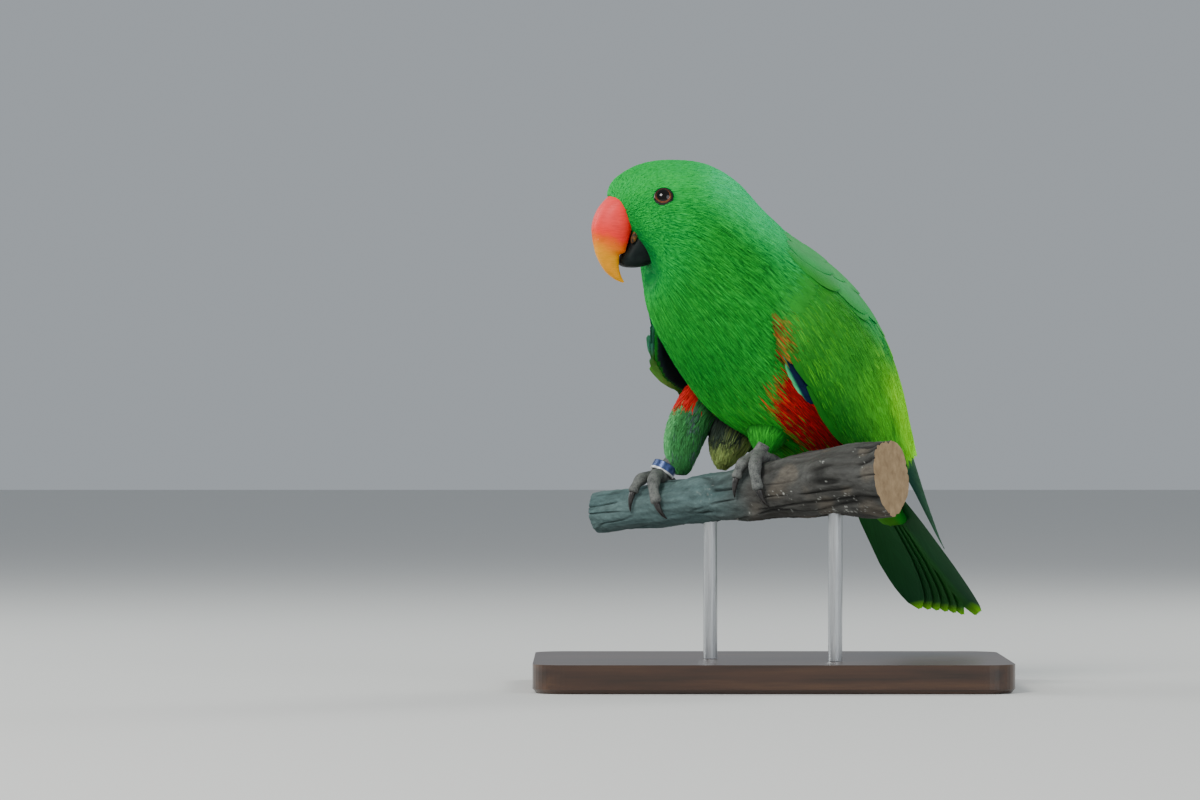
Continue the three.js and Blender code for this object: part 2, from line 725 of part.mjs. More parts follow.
// A claw, which starts where its toe ends.
function clawSolid(foot, toe) {
  const points = [];
  const radii = [];
  for (let i = 0; i <= CLAW.steps; i += 1) {
    const share = i / CLAW.steps;
    points.push(toePoint(foot, toe, toe.length + CLAW.start + share * (CLAW.length - CLAW.start)));
    radii.push(CLAW.radius * (1 - 0.85 * share));
  }
  return tube(points, radii, TOE_SIDES);
}

// The lower leg: from its ankle to the sole.
function tarsusEnds(foot) {
  return [new THREE.Vector3(...foot.ankle), perchPoint(foot.along, foot.turn, SOLE * 0.8)];
}

// The bare lower leg, made larger by grow.
function shankSolid(foot, grow = 0) {
  const [ankle, sole] = tarsusEnds(foot);
  const points = [0, 0.35, 0.7, 1].map((share) => ankle.clone().lerp(sole, share));
  return tube(points, SHANK.map((size) => size * TARSUS_RADIUS), SHANK_SIDES, grow);
}

// A foot, made larger by grow: lower leg, sole and four toes.
function footSolid(foot, grow = 0) {
  const pad = new THREE.SphereGeometry(SOLE + grow, 8, 6);
  pad.applyMatrix4(new THREE.Matrix4().setPosition(perchPoint(foot.along, foot.turn, SOLE * 0.62)));
  return join([shankSolid(foot, grow), solidOf(pad), ...TOES.map((toe) => toeSolid(foot, toe, grow))]);
}

// The leg ring: a plain band, or with grow the room it needs.
function ringSolid(grow = 0) {
  const [inner, outer, tall] = [RING.inner - grow, RING.outer + grow, RING.tall / 2 + grow];
  const profile = [[inner, -tall], [outer, -tall], [outer, tall], [inner, tall], [inner, -tall]];
  const band = new THREE.LatheGeometry(profile.map(([r, y]) => new THREE.Vector2(r, y)), RING.sides);
  const [ankle, sole] = tarsusEnds(FEET.right);
  const leg = ankle.clone().sub(sole).normalize();
  const way = leg.lerp(new THREE.Vector3(...RING.upright), RING.lean).normalize();
  band.applyQuaternion(new THREE.Quaternion().setFromUnitVectors(new THREE.Vector3(0, 1, 0), way));
  return solidOf(band.applyMatrix4(new THREE.Matrix4().setPosition(ankle.lerp(sole, RING.place))));
}

// A plain flat base with round corners and a bevelled rim.
function baseSolid() {
  const { long, wide, tall, corner, bevel } = BASE;
  const [x, y, r] = [long / 2 - bevel, wide / 2 - bevel, corner - bevel];
  const outline = new THREE.Shape();
  outline.moveTo(x, y - r);
  outline.absarc(x - r, y - r, r, 0, Math.PI / 2);
  outline.absarc(r - x, y - r, r, Math.PI / 2, Math.PI);
  outline.absarc(r - x, r - y, r, Math.PI, 1.5 * Math.PI);
  outline.absarc(x - r, r - y, r, 1.5 * Math.PI, 2 * Math.PI);
  const slab = new THREE.ExtrudeGeometry(outline, {
    depth: tall - bevel,
    bevelEnabled: true,
    bevelSize: bevel,
    bevelThickness: bevel,
    bevelSegments: 1,
    curveSegments: 5,
  });
  slab.translate(0, 0, bevel);
  const floor = new THREE.BoxGeometry(long * 2, wide * 2, tall);
  floor.translate(0, 0, tall / 2);
  return solidOf(slab).intersect(solidOf(floor));
}

// A rod from the base up into the branch, made larger by grow.
function rodSolid(t, grow = 0) {
  const { at, radius } = station(PERCH, t);
  const low = BASE.tall + GAP;
  const high = at[2] - radius + RODS.sunk + grow;
  const rod = new THREE.CylinderGeometry(RODS.radius + grow, RODS.radius + grow, high - low, RODS.sides);
  rod.rotateX(Math.PI / 2);
  rod.translate(at[0], at[1], (high + low) / 2);
  return solidOf(rod);
}

const cuts = join([NECK_CUT, TORSO_CUT, TAIL_CUT].map(cutAt));
const parted = bodySolid().subtract(cuts).decompose();
parted.sort((a, b) => b.boundingBox().max[2] - a.boundingBox().max[2]);
const [headBody, neckBody, torsoBody, rump] = parted;
const clearBody = bodySolid(GAP);
const clearPerch = perchSolid(GAP);
const clearRing = ringSolid(GAP);
const clearTail = cutAt(TAIL_CUT);
const clearLimbs = [LEGS.right, FLUFF].map((table) => limbSolid(table, GAP));
const rods = [RODS.left, RODS.right];
const rodHoles = join(rods.map((t) => rodSolid(t, GAP)));
const upperBill = billSolid(UPPER_BILL, BILL_STEPS);
const upperClear = billSolid(UPPER_BILL, BILL_STEPS, WIDE_GAP);
const feathered = finish(COLOURS.green);
const winged = finish(COLOURS.wing);
const horn = finish(COLOURS.foot, 0.6);

const model = new THREE.Group();
model.add(
  piece("head", headSolid(headBody), feathered),
  piece("neck", neckBody, feathered),
  piece("torso", torsoBody, feathered),
  piece("tail", join([rump, ...tailVanes()]).subtract(torsoBody).subtract(clearTail), winged),
  piece("bill_upper", upperBill, finish(COLOURS.coral, 0.35)),
  piece("bill_lower", billSolid(LOWER_BILL, LOWER_STEPS).subtract(upperClear), finish(COLOURS.black, 0.4)),
  piece("wing_left", wingSolid(1).subtract(clearBody), winged),
  piece("wing_right", wingSolid(-1).subtract(join([clearBody, ...clearLimbs])), winged),
  piece("leg_ring", ringSolid(), finish(COLOURS.ring, 0.4, 0.6)),
  piece("stand_perch", perchSolid().subtract(rodHoles), finish(COLOURS.bark, 0.95)),
  piece("stand_rod_left", rodSolid(rods[0]), finish(COLOURS.metal, 0.3, 1)),
  piece("stand_rod_right", rodSolid(rods[1]), finish(COLOURS.metal, 0.3, 1)),
  piece("stand_base", baseSolid(), finish(COLOURS.base, 0.5)),
);
for (const [hand, sign] of [["left", 1], ["right", -1]]) {
  const foot = FEET[hand];
  model.add(piece(`eye_${hand}`, eyeBall(sign, EYE.radius), finish(COLOURS.eye, 0.1)));
  const limbs = hand === "right" ? [LEGS.right, FLUFF] : [LEGS.left];
  const wideFoot = footSolid(foot, WIDE_GAP);
  const covered = join(limbs.map((table) => limbSolid(table)));
  const leg = covered.subtract(join([clearBody, wideFoot, clearRing, clearPerch]));
  model.add(piece(`leg_${hand}`, leg, feathered));
  model.add(piece(`foot_${hand}`, footSolid(foot).subtract(join([clearPerch, clearRing])), horn));
  for (const toe of TOES) {
    const claw = clawSolid(foot, toe).subtract(clearPerch);
    model.add(piece(`claw_${hand}_${toe.name}`, claw, finish(COLOURS.claw, 0.4)));
  }
}

export default model;
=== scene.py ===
"""A male eclectus parrot on its perch stand: skin, coat, finishes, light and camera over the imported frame.

Lengths in the tables are millimetres, as in the part's source; the meshes are written in metres.
"""

import math

import bmesh
import bpy
import numpy as np
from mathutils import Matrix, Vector
from mathutils.bvhtree import BVHTree
from mathutils.kdtree import KDTree


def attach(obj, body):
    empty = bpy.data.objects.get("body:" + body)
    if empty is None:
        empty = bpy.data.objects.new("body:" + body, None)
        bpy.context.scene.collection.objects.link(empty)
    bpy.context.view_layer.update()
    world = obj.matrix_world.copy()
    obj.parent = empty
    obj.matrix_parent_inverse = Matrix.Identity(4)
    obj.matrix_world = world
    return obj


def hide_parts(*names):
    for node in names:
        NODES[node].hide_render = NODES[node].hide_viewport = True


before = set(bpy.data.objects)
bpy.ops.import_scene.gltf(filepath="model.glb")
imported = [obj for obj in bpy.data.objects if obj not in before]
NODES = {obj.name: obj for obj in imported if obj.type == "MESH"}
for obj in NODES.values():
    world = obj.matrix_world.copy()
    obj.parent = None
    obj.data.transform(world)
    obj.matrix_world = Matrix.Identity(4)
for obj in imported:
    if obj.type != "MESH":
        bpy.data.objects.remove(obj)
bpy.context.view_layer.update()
RAD = math.pi / 180
MM = 0.001
SIDES = ((1, "left"), (-1, "right"))
rng = np.random.default_rng(11)

# the shapes that the part's source gives, for the coat to lie on

# x, y, z, heading, lean, half width, reach to the back, reach to the breast
BODY = np.array([
    [-73.5, -38, 231, 74, 32, 9, 16, 16],
    [-70.5, -37.2, 231.5, 74, 24, 15, 21.5, 21.5],
    [-66, -36, 231.7, 74, 14, 20.5, 25.8, 26],
    [-61, -34.5, 231.3, 74, 3, 25, 29.5, 29.5],
    [-55, -32.5, 229.7, 73, -10, 28, 33, 33],
    [-47, -30, 226.7, 71, -23, 30, 36.6, 36],
    [-39.7, -27, 220.2, 67, -34, 32.5, 39, 37.5],
    [-32, -23.5, 210.5, 61, -42, 35.5, 39.5, 39.5],
    [-23, -19, 199, 56, -46, 39, 42, 42],
    [-10, -8.8, 181.6, 53, -46, 43, 44, 43.5],
    [3, 1.4, 164.2, 52, -46, 45, 45, 42],
    [17, 12.4, 145.5, 52, -46, 43, 41, 34.5],
    [31, 23.4, 126.8, 52, -46, 34, 32, 25],
    [43.5, 33.2, 110, 52, -46, 23, 20, 17],
    [55, 42.2, 94.6, 52, -46, 15, 11, 10],
    [65, 50, 81.2, 52, -46, 12, 6, 6],
])
BODY_END = len(BODY) - 1
AXIS_START = np.array([-23.0, -19, 199])
AXIS = np.array([0.542, 0.425, -0.725])
WING_STEP = 24
WING_SIZES = np.array([
    [39, 42], [45, 47], [48.5, 50], [48, 48], [43, 42], [35, 33], [26.5, 24], [19, 16.5], [13, 11.5],
])
# how far each wing's lower edge is held off the body, and how far its wrist reaches round the breast
HELD = {1: ([0, 0, 1, 1, 0.5, 0, 0, 0, 0], 0), -1: ([9, 10, 7, 3, 1.5, 0.5, 0, 0, 0], 22)}
WRIST_END = 44
LOW_HALF = 55
# the wing's lower edge, and how high its coat stands, at distances along the axis
EDGE_S = [0, 7, 20, 33, 50, 75, 100, 120]
EDGE_A = {1: [86, 95, 107, 115, 118, 121.5, 108, 96], -1: [98, 103, 111, 117, 119, 121.5, 108, 96]}
TOP_S = [-14, -11, -8, -4, 0, 4, 12, 30, 60, 90, 120]
TOP = [-5.2, -3.3, -1.8, -0.5, 0.4, 1.0, 2.0, 2.6, 2.3, 1.6, 1.0]
# x, y, z and radius: each limb's last row lets its feathers hang past the solid's end
LEGS = {
    "right": np.array([
        [-21, 19, 153, 13], [-33, 16.5, 141.5, 12], [-41, 12, 129, 10.5], [-44, 8.5, 118, 9],
        [-44.3, 7, 109, 5.5], [-44.5, 6.5, 105.5, 2.5],
    ]),
    "left": np.array([
        [10, -5, 150, 19], [4.5, -7.5, 140, 17.5], [0, -11, 131, 14.5], [-2, -15.5, 124, 9.5],
        [-3, -19.5, 119, 5.5], [-3.6, -21.5, 115.5, 2.5],
    ]),
    "fluff": np.array([
        [-11, 11, 142, 12.5], [-16, 12.5, 131, 12.5], [-20.5, 13, 121, 10.5], [-23, 12.5, 113, 6.5],
        [-24, 12, 108, 2],
    ]),
}
BILL_AT = np.array([-80.5, -40, 243.5])
BILL_HEADING = 74
# ridge forward and up, edge forward and up, half width
UPPER_BILL = np.array([
    [-5, 3, -17, -10, 8.8],
    [0, 0.2, -12.3, -12, 9.8],
    [5.6, -6.2, -11, -16, 9.6],
    [8.5, -13.9, -9.6, -21, 8.8],
    [8.3, -20.5, -8.2, -25.2, 7.8],
    [7.5, -25, -7.5, -27.6, 7],
    [6.6, -28.6, -4.9, -28.9, 5.9],
    [4.6, -33, -4.6, -32.4, 4.6],
    [1.6, -37.4, -5, -36.2, 3.2],
    [-2.8, -40.9, -6.2, -39.6, 1.8],
    [-7, -42.6, -7.7, -42, 0.5],
])
LOWER_BILL = np.array([
    [-22, -16, -25, -31, 8],
    [-13, -15.5, -20, -33.6, 8.6],
    [-10, -20.6, -14.3, -35, 8],
    [-8, -25.6, -9.4, -35, 7],
    [-6, -29.2, -6.6, -34.3, 5.2],
    [-5.4, -30.8, -5.4, -33, 3.4],
])
# the eye's place along and round the body, its radius and how deep its middle lies
EYE_T, EYE_ANGLE, EYE_RADIUS, EYE_SUNK = 3.15, 66, 6, 4.5
LID_WIDE, LID_TALL, LID_THICK = 3.85, 3.35, 0.34
# x, y, z and radius
PERCH = np.array([
    [-86, 19, 86, 10],
    [-56, 2, 90, 11.5],
    [-30, -11, 94.5, 12.5],
    [-5, -24, 97, 14],
    [26, -40, 102, 17],
    [58, -57, 105.5, 19.5],
])
PERCH_END = len(PERCH) - 1
# swells of the branch: share of its radius, waves round it and turn along it
BARK = [(0.035, 3, 2.3), (0.025, 5, -4.1), (0.03, 2, 7.3)]
# knots: place along the branch, angle, height as a share of its radius, and width
KNOTS = [(2.35, 115, 0.16, 0.35), (4.2, 75, 0.14, 0.3), (0.5, -60, 0.15, 0.3)]
# place along the branch, angle round it and the ankle
FEET = {"right": (1, -14, np.array([-46.5, 8, 116])), "left": (3, 0, np.array([-3.5, -22.5, 121]))}
TARSUS_RADIUS, SOLE = 3.6, 5
# name, side, out, length, spread, radius
TOES = [
    ("front_inner", 1, -1, 17, 5.5, 2.9), ("front_outer", 1, 1, 25, 6.5, 3.1),
    ("back_inner", -1, -1, 13, 5, 2.7), ("back_outer", -1, 1, 23, 6.5, 3),
]
CLAW_START, CLAW_LENGTH, CLAW_RADIUS = 0.8, 10, 1.75
RING_INNER, RING_OUTER, RING_TALL, RING_PLACE, RING_LEAN = 5.2, 6.3, 5, 0.7, 0.5
RING_UPRIGHT = np.array([0.3, 0.35, 0.9])


def curve(rows, t):
    """The rows of a table at places t, smooth through all of them."""
    rows = np.asarray(rows, float)
    last = len(rows) - 1
    t = np.asarray(t, float)
    i = np.clip(np.floor(t).astype(int), 0, last - 1)
    f = (t - i).reshape(t.shape + (1,) * (rows.ndim - 1))
    a, b, c, d = (rows[np.clip(i + k, 0, last)] for k in (-1, 0, 1, 2))
    return 0.5 * (2 * b + (c - a) * f + (2 * a - 5 * b + 4 * c - d) * f**2 + (3 * b - a - 3 * c + d) * f**3)


def floats(*values):
    """The values as float arrays of one shape."""
    return np.broadcast_arrays(*(np.asarray(v, float) for v in values))


def vec(*parts):
    return np.stack(floats(*parts), -1)


def unit(v):
    return v / np.maximum(np.linalg.norm(v, axis=-1, keepdims=True), 1e-9)


def directions(heading, lean):
    """Forward, left and back of a bird turned by heading and leaned by lean, in degrees."""
    h, tip = np.asarray(heading) * RAD, np.asarray(lean) * RAD
    ahead, up = vec(-np.sin(h), -np.cos(h), 0), vec(0, 0, 0 * h + 1)
    left = vec(np.cos(h), -np.sin(h), 0)
    cos, sin = np.cos(tip)[..., None], np.sin(tip)[..., None]
    return ahead * cos - up * sin, left, ahead * sin + up * cos


def body_point(t, angle, out=0.0):
    """On the body at t: angle is 0 along the back and 90 on the left side."""
    t, angle, out = floats(t, angle, out)
    row = curve(BODY, np.clip(t, 0, BODY_END))
    _, left, back = directions(row[..., 3], row[..., 4])
    turn = angle * RAD
    reach = np.where(np.cos(turn) > 0, row[..., 6], row[..., 7])
    side = (np.sin(turn) * (row[..., 5] + out))[..., None]
    return row[..., :3] + left * side + back * (np.cos(turn) * (reach + out))[..., None]


REAR_LEFT, REAR_BACK = directions(52.0, -46.0)[1:]


def rear_point(s, side, high):
    s, side, high = (v[..., None] for v in floats(s, side, high))
    return AXIS_START + AXIS * s + REAR_LEFT * side + REAR_BACK * high


def lowness(angle):
    """How far down a wing's lower half a place lies."""
    return np.clip((angle - LOW_HALF) / LOW_HALF, 0, 1.2)


def wrist_turn(s, angle, hand):
    """How many degrees further round the breast a wing reaches at its wrist."""
    return HELD[hand][1] * lowness(angle) * np.clip(1 - s / WRIST_END, 0, 1)


def wing_surface(hand):
    """The surface that a folded wing lies on: hand is 1 for the left one."""
    off_rows = np.array(HELD[hand][0], float)

    def point(s, angle, out=0.0):
        s, angle, out = floats(s, angle, out)
        place = np.clip(s / WING_STEP, -0.6, len(WING_SIZES) - 1)
        size = curve(WING_SIZES, place)
        reach = out + curve(off_rows, place) * lowness(angle) * lowness(angle)
        turn = (angle + wrist_turn(s, angle, hand)) * RAD
        side = hand * np.sin(turn) * (size[..., 0] + reach)
        return rear_point(s, side, np.cos(turn) * (size[..., 1] + reach))

    return point


WING = {hand: wing_surface(hand) for hand in (1, -1)}


def wing_place(points):
    """Where points lie under the folded wings: s, the angle and which wing."""
    d = points - AXIS_START
    s, side, high = d @ AXIS, d @ REAR_LEFT, d @ REAR_BACK
    size = curve(WING_SIZES, np.clip(s / WING_STEP, 0, len(WING_SIZES) - 1))
    return s, np.degrees(np.arctan2(np.abs(side) / size[..., 0], high / size[..., 1])), side > 0


def ring_frames(points):
    """Two directions across a line at each of its points, without twist."""
    way = unit(np.gradient(points, axis=0))
    side = np.cross(way[0], [0.31, 0.9, 0.21])
    sides = []
    for w in way:
        side = side - w * side.dot(w)
        side = side / np.linalg.norm(side)
        sides.append(side)
    sides = np.array(sides)
    return sides, np.cross(way, sides)


def leg_surface(table):
    """A feathered limb as a tube: place along it and angle round it."""
    last = len(table) - 1
    rows = curve(table, np.linspace(0, last, 41))
    side, other = ring_frames(rows[:, :3])

    def point(t, angle, out=0.0):
        t, angle, out = floats(t, angle, out)
        k = np.clip(t, 0, last) / last * 40
        row = curve(rows, k)
        turn = (angle * RAD)[..., None]
        across = curve(side, k) * np.cos(turn) + curve(other, k) * np.sin(turn)
        return row[..., :3] + across * (row[..., 3] + out)[..., None]

    return point


LEG = {name: leg_surface(table) for name, table in LEGS.items()}
HEAD_FORWARD, HEAD_LEFT, HEAD_UP = directions(float(BILL_HEADING), 0.0)


def head_point(forward, up, side):
    forward, up, side = (v[..., None] for v in floats(forward, up, side))
    return BILL_AT + HEAD_FORWARD * forward + HEAD_UP * up + HEAD_LEFT * side


def perch_point(t, turn, out):
    """Round the branch: turn is 0 on top and grows towards the viewer."""
    t, turn, out = floats(t, turn, out)
    row = curve(PERCH, t)
    ahead, behind = curve(PERCH, np.minimum(t + 0.1, PERCH_END)), curve(PERCH, np.maximum(t - 0.1, 0))
    along = unit((ahead - behind)[..., :3])
    front = unit(vec(along[..., 1], -along[..., 0], 0))
    up = unit(np.cross(along, front))
    up = np.where(up[..., 2:] < 0, -up, up)
    a = (turn * RAD)[..., None]
    return row[..., :3] + (up * np.cos(a) + front * np.sin(a)) * (row[..., 3] + out)[..., None]


def bark_swell(t, turn):
    share = 0
    for size, around, along in BARK:
        share = share + size * np.sin(around * turn * RAD + along * t)
    for along, around, swell, wide in KNOTS:
        away = np.hypot((t - along) / wide, np.sin((turn - around) / 2 * RAD) * 3.2)
        share = share + swell * np.exp(-away * away)
    return share * curve(PERCH, t)[..., 3]


# meshes


# large odd numbers that scramble a cell's place into a chance value
PRIMES = (73856093, 19349663, 83492791, 2654435761, 1274126177)


def noise(p, size, seed=0):
    """Smooth value noise between -1 and 1 at points p, with cells of that size."""
    q = np.asarray(p, float) / size + 137.0
    cell = np.floor(q).astype(np.int64)
    f = q - cell
    f = f * f * (3 - 2 * f)
    total = 0
    for corner in range(8):
        bits = [(corner >> k) & 1 for k in range(3)]
        c = cell + bits
        h = (c[..., 0] * PRIMES[0]) ^ (c[..., 1] * PRIMES[1]) ^ (c[..., 2] * PRIMES[2]) ^ (seed * PRIMES[3])
        h = (h ^ (h >> 13)) * PRIMES[4] & 0xFFFFFFFF
        value = ((h ^ (h >> 16)) & 0xFFFF) / 32767.5 - 1
        weight = 1
        for k in range(3):
            weight = weight * (f[..., k] if bits[k] else 1 - f[..., k])
        total = total + value * weight
    return total


def paint(mesh, label, values):
    """Keeps a colour for each of a mesh's points."""
    layer = mesh.color_attributes.new(label, "FLOAT_COLOR", "POINT")
    flat = np.ones((len(mesh.vertices), 4), np.float32)
    flat[:, :3] = values
    layer.data.foreach_set("color", flat.ravel())


def placed(name, data):
    """A new object with its mesh, light or camera data, in the scene."""
    made = bpy.data.objects.new(name, data)
    bpy.context.scene.collection.objects.link(made)
    return made


def mesh_object(name, points, faces, smooth=True):
    """A mesh from arrays: points in millimetres, faces of three or four corners, all alike."""
    mesh = bpy.data.meshes.new(name)
    mesh.vertices.add(len(points))
    mesh.vertices.foreach_set("co", (np.asarray(points) * MM).astype(np.float32).ravel())
    mesh.loops.add(faces.size)
    mesh.loops.foreach_set("vertex_index", faces.astype(np.int32).ravel())
    mesh.polygons.add(len(faces))
    mesh.polygons.foreach_set("loop_start", np.arange(len(faces), dtype=np.int32) * faces.shape[1])
    mesh.polygons.foreach_set("use_smooth", np.full(len(faces), smooth))
    mesh.update(calc_edges=True)
    return placed(name, mesh)


def grid_faces(rows, cols, wrap=False):
    i, j = np.meshgrid(np.arange(rows - 1), np.arange(cols if wrap else cols - 1), indexing="ij")
    k = (j + 1) % cols
    return np.stack([i * cols + j, i * cols + k, (i + 1) * cols + k, (i + 1) * cols + j], -1).reshape(-1, 4)


def mend(made):
    """Turns a closed mesh's faces outwards."""
    work = bmesh.new()
    work.from_mesh(made.data)
    bmesh.ops.recalc_face_normals(work, faces=work.faces)
    work.to_mesh(made.data)
    work.free()
    return made


def closed_band(name, rings, smooth=True):
    """A mesh over a loop of loops of points."""
    count, cols = rings.shape[:2]
    faces = grid_faces(count + 1, cols, wrap=True) % (count * cols)
    return mend(mesh_object(name, rings.reshape(-1, 3), faces, smooth))


def loft(name, rings):
    """A closed mesh over rings of points, with a fan at each end."""
    rings = np.asarray(rings, float)
    rows, cols = rings.shape[:2]
    points = np.concatenate([rings.reshape(-1, 3), rings[:1].mean(1), rings[-1:].mean(1)])
    first, start = rows * cols, (rows - 1) * cols
    ends = [[first, (j + 1) % cols, j] for j in range(cols)]
    ends += [[first + 1, start + j, start + (j + 1) % cols] for j in range(cols)]
    mesh = bpy.data.meshes.new(name)
    mesh.from_pydata((points * MM).tolist(), [], grid_faces(rows, cols, wrap=True).tolist() + ends)
    mesh.polygons.foreach_set("use_smooth", np.full(len(mesh.polygons), True))
    return mend(placed(name, mesh))


def tube(name, points, radii, sides=16):
    side, other = ring_frames(np.asarray(points, float))
    turn = np.arange(sides) * 2 * math.pi / sides
    ring = side[:, None] * np.cos(turn)[None, :, None] + other[:, None] * np.sin(turn)[None, :, None]
    return loft(name, np.asarray(points)[:, None] + ring * np.asarray(radii, float)[:, None, None])


def ellipsoid(name, middle, axes, rows=24, cols=32):
    """A ball about middle; axes are its three half axes as vectors, the first towards its pole."""
    polar = np.linspace(0.02, math.pi - 0.02, rows)[:, None, None]
    turn = (np.arange(cols) * 2 * math.pi / cols)[None, :, None]
    pole, across, upward = axes
    ring = np.sin(polar) * (across * np.cos(turn) + upward * np.sin(turn))
    return loft(name, middle + pole * np.cos(polar) + ring)


def joined(name, objects):
    """Several meshes as one."""
    bpy.ops.object.select_all(action="DESELECT")
    for o in objects:
        o.select_set(True)
    bpy.context.view_layer.objects.active = objects[0]
    if len(objects) > 1:
        bpy.ops.object.join()
    objects[0].name = name
    objects[0].data.name = name
    return objects[0]


def applied(made, kind, **values):
    bpy.ops.object.select_all(action="DESELECT")
    bpy.context.view_layer.objects.active = made
    made.select_set(True)
    modifier = made.modifiers.new(kind, kind)
    for key, value in values.items():
        setattr(modifier, key, value)
    bpy.ops.object.modifier_apply(modifier=modifier.name)


def fused(name, pieces, voxel, passes):
    """Closed meshes melted into one smooth skin."""
    made = joined(name, pieces)
    applied(made, "REMESH", mode="VOXEL", voxel_size=voxel * MM, use_smooth_shade=True)
    applied(made, "SMOOTH", factor=0.5, iterations=passes)
    return made


def vertices(made):
    flat = np.empty(len(made.data.vertices) * 3, np.float32)
    made.data.vertices.foreach_get("co", flat)
    return flat.reshape(-1, 3).astype(float) / MM


def settle(made, slot, *finishes, replaces=()):
    """Gives a piece its finishes and its place in the part."""
    made.data.materials.clear()
    for finish in finishes:
        made.data.materials.append(finish.material)
    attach(made, "root")
    if replaces:
        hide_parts(*replaces)
    return made


def tree_of(*names):
    """A search tree over CAD nodes, in millimetres."""
    points, faces = [], []
    for name in names:
        start = len(points)
        mesh = NODES[name].data
        points += [tuple(v.co / MM) for v in mesh.vertices]
        faces += [tuple(start + k for k in p.vertices) for p in mesh.polygons]
    return BVHTree.FromPolygons(points, faces)


def inside(tree, points, margin=0.0):
    """Which points lie inside a closed tree, or within margin of it."""
    found = np.zeros(len(points), bool)
    for i, p in enumerate(points):
        spot, normal, _, away = tree.find_nearest(Vector(p))
        if spot is not None:
            found[i] = away < margin or (Vector(p) - spot).dot(normal) < 0
    return found


# colours, as linear red, green and blue


def rgb(*linear):
    return np.array(linear, float)


def shade(r, g, b):
    """A colour from 0 to 255 on a screen as linear light."""
    c = np.array([r, g, b]) / 255
    return np.where(c <= 0.04045, c / 12.92, ((c + 0.055) / 1.055) ** 2.4)


FACE = rgb(0.003, 0.44, 0.06)
EMERALD = rgb(0.01, 0.3, 0.028)
CROWN = rgb(0.007, 0.47, 0.085)
NAPE = rgb(0.016, 0.6, 0.19)
MANTLE = rgb(0.014, 0.38, 0.085)
# the belly's own green, brightened past the breast's as painted light for the little light that reaches it
BELLY = rgb(0.036, 0.45, 0.032)
BELLY_EDGE = rgb(0.08, 0.4, 0.025)
CHIN = rgb(0.012, 0.045, 0.03)
FLANK_RED = rgb(0.52, 0.016, 0.013)
LEAF = rgb(0.026, 0.235, 0.02)
LIGHT_LEAF = rgb(0.085, 0.51, 0.022)
DEEP = rgb(0.009, 0.13, 0.006)
# lime yellow: the tail's own tip, and on the wing a painted glow of the light from behind
LIME = rgb(0.3, 0.9, 0.006)
SCAPULAR = rgb(0.014, 0.33, 0.062)
TEAL = rgb(0.045, 0.46, 0.18)
# painted light: pale green and cyan that brighten the far wing's shaded front edge
FAR_GREEN_PAINTED_LIGHT = rgb(0.3, 0.72, 0.16)
FAR_CYAN_PAINTED_LIGHT = rgb(0.3, 0.9, 0.8)
BLUE = rgb(0.002, 0.009, 0.035)
# painted shade: near-black under the folded wings
UNDERWING_SHADE = rgb(0.01, 0.016, 0.02)
LEG_GREEN = rgb(0.036, 0.185, 0.054)
# painted rim light: a paler green along one edge of the right leg
LEG_RIM_LIGHT = rgb(0.095, 0.38, 0.13)
LEG_GREY = rgb(0.075, 0.115, 0.12)
# painted shade: the fluff under the belly is dark at its top; FLUFF_LIGHT is the vent's own yellow-green
FLUFF_SHADE = rgb(0.03, 0.045, 0.035)
FLUFF_LIGHT = rgb(0.3, 0.4, 0.12)
# the dark fringe behind the lower bill: its edge, in degrees from the back, along the body
CHIN_T = [0.6, 1.25, 1.6, 2.3, 3.8, 4.8]
CHIN_A = [104, 114, 126, 137, 143, 158]
# the flank's red patch: its edge towards the breast, in degrees from the back, along the body
RED_T = [8.3, 8.5, 8.9, 9.1, 9.3, 9.6, 10.1, 10.7, 11.3, 11.8]
RED_A = [82, 97, 105, 114, 130, 143, 151, 156, 153, 138]


def mix(a, b, share):
    share = np.asarray(share, float)[..., None]
    return a * (1 - share) + b * share


def step(low, high, x):
    s = np.clip((np.asarray(x, float) - low) / (high - low), 0, 1)
    return s * s * (3 - 2 * s)


def body_colour(t, angle, chance=0.0):
    """The plumage's colour on the body, by place; chance blurs the red patch's edge, in degrees."""
    away = np.abs((np.asarray(angle, float) + 180) % 360 - 180)
    colour = mix(EMERALD, FACE, step(6, 3.5, t))
    colour = mix(colour, CROWN, step(80, 20, away) * step(9, 5, t) * (0.4 + 0.6 * step(2.5, 4, t)))
    colour = mix(colour, NAPE, step(84, 30, away) * step(4, 5.2, t) * step(9.5, 6.5, t))
    colour = mix(colour, MANTLE, step(98, 50, away) * step(6.4, 9, t))
    # painted light: the belly's brightened green
    colour = mix(colour, BELLY, step(8.3, 10.5, t) * step(70, 120, away))
    fringe = away + 2.4 * chance - np.interp(t, CHIN_T, CHIN_A)
    colour = mix(colour, CHIN, 0.45 * step(-4, 16, fringe) * step(4.6, 3.0, t + 0.04 * chance))
    colour = mix(colour, BELLY_EDGE, step(10.6, 12, t) * step(120, 150, away))
    red = np.interp(t, RED_T, RED_A) - away + chance
    return mix(colour, FLANK_RED, (red > 0) * (away > 72) * (t > 8.3) * (t < 12.3))


def wing_edge(s, hand=1):
    return np.interp(s, EDGE_S, EDGE_A[hand])


def top_at(s, a, hand):
    """How high the wing's coat stands; the left one's front edge sinks into the breast."""
    sunk = 0.8 * step(-16, 1, a - wing_edge(s)) * step(36, 16, s) * (hand > 0)
    lifted = 1.7 * step(76, 90, a) * step(-10, -3, s) * step(34, 18, s) * (hand < 0)
    return np.interp(s, TOP_S, TOP) * (1 - sunk) + lifted


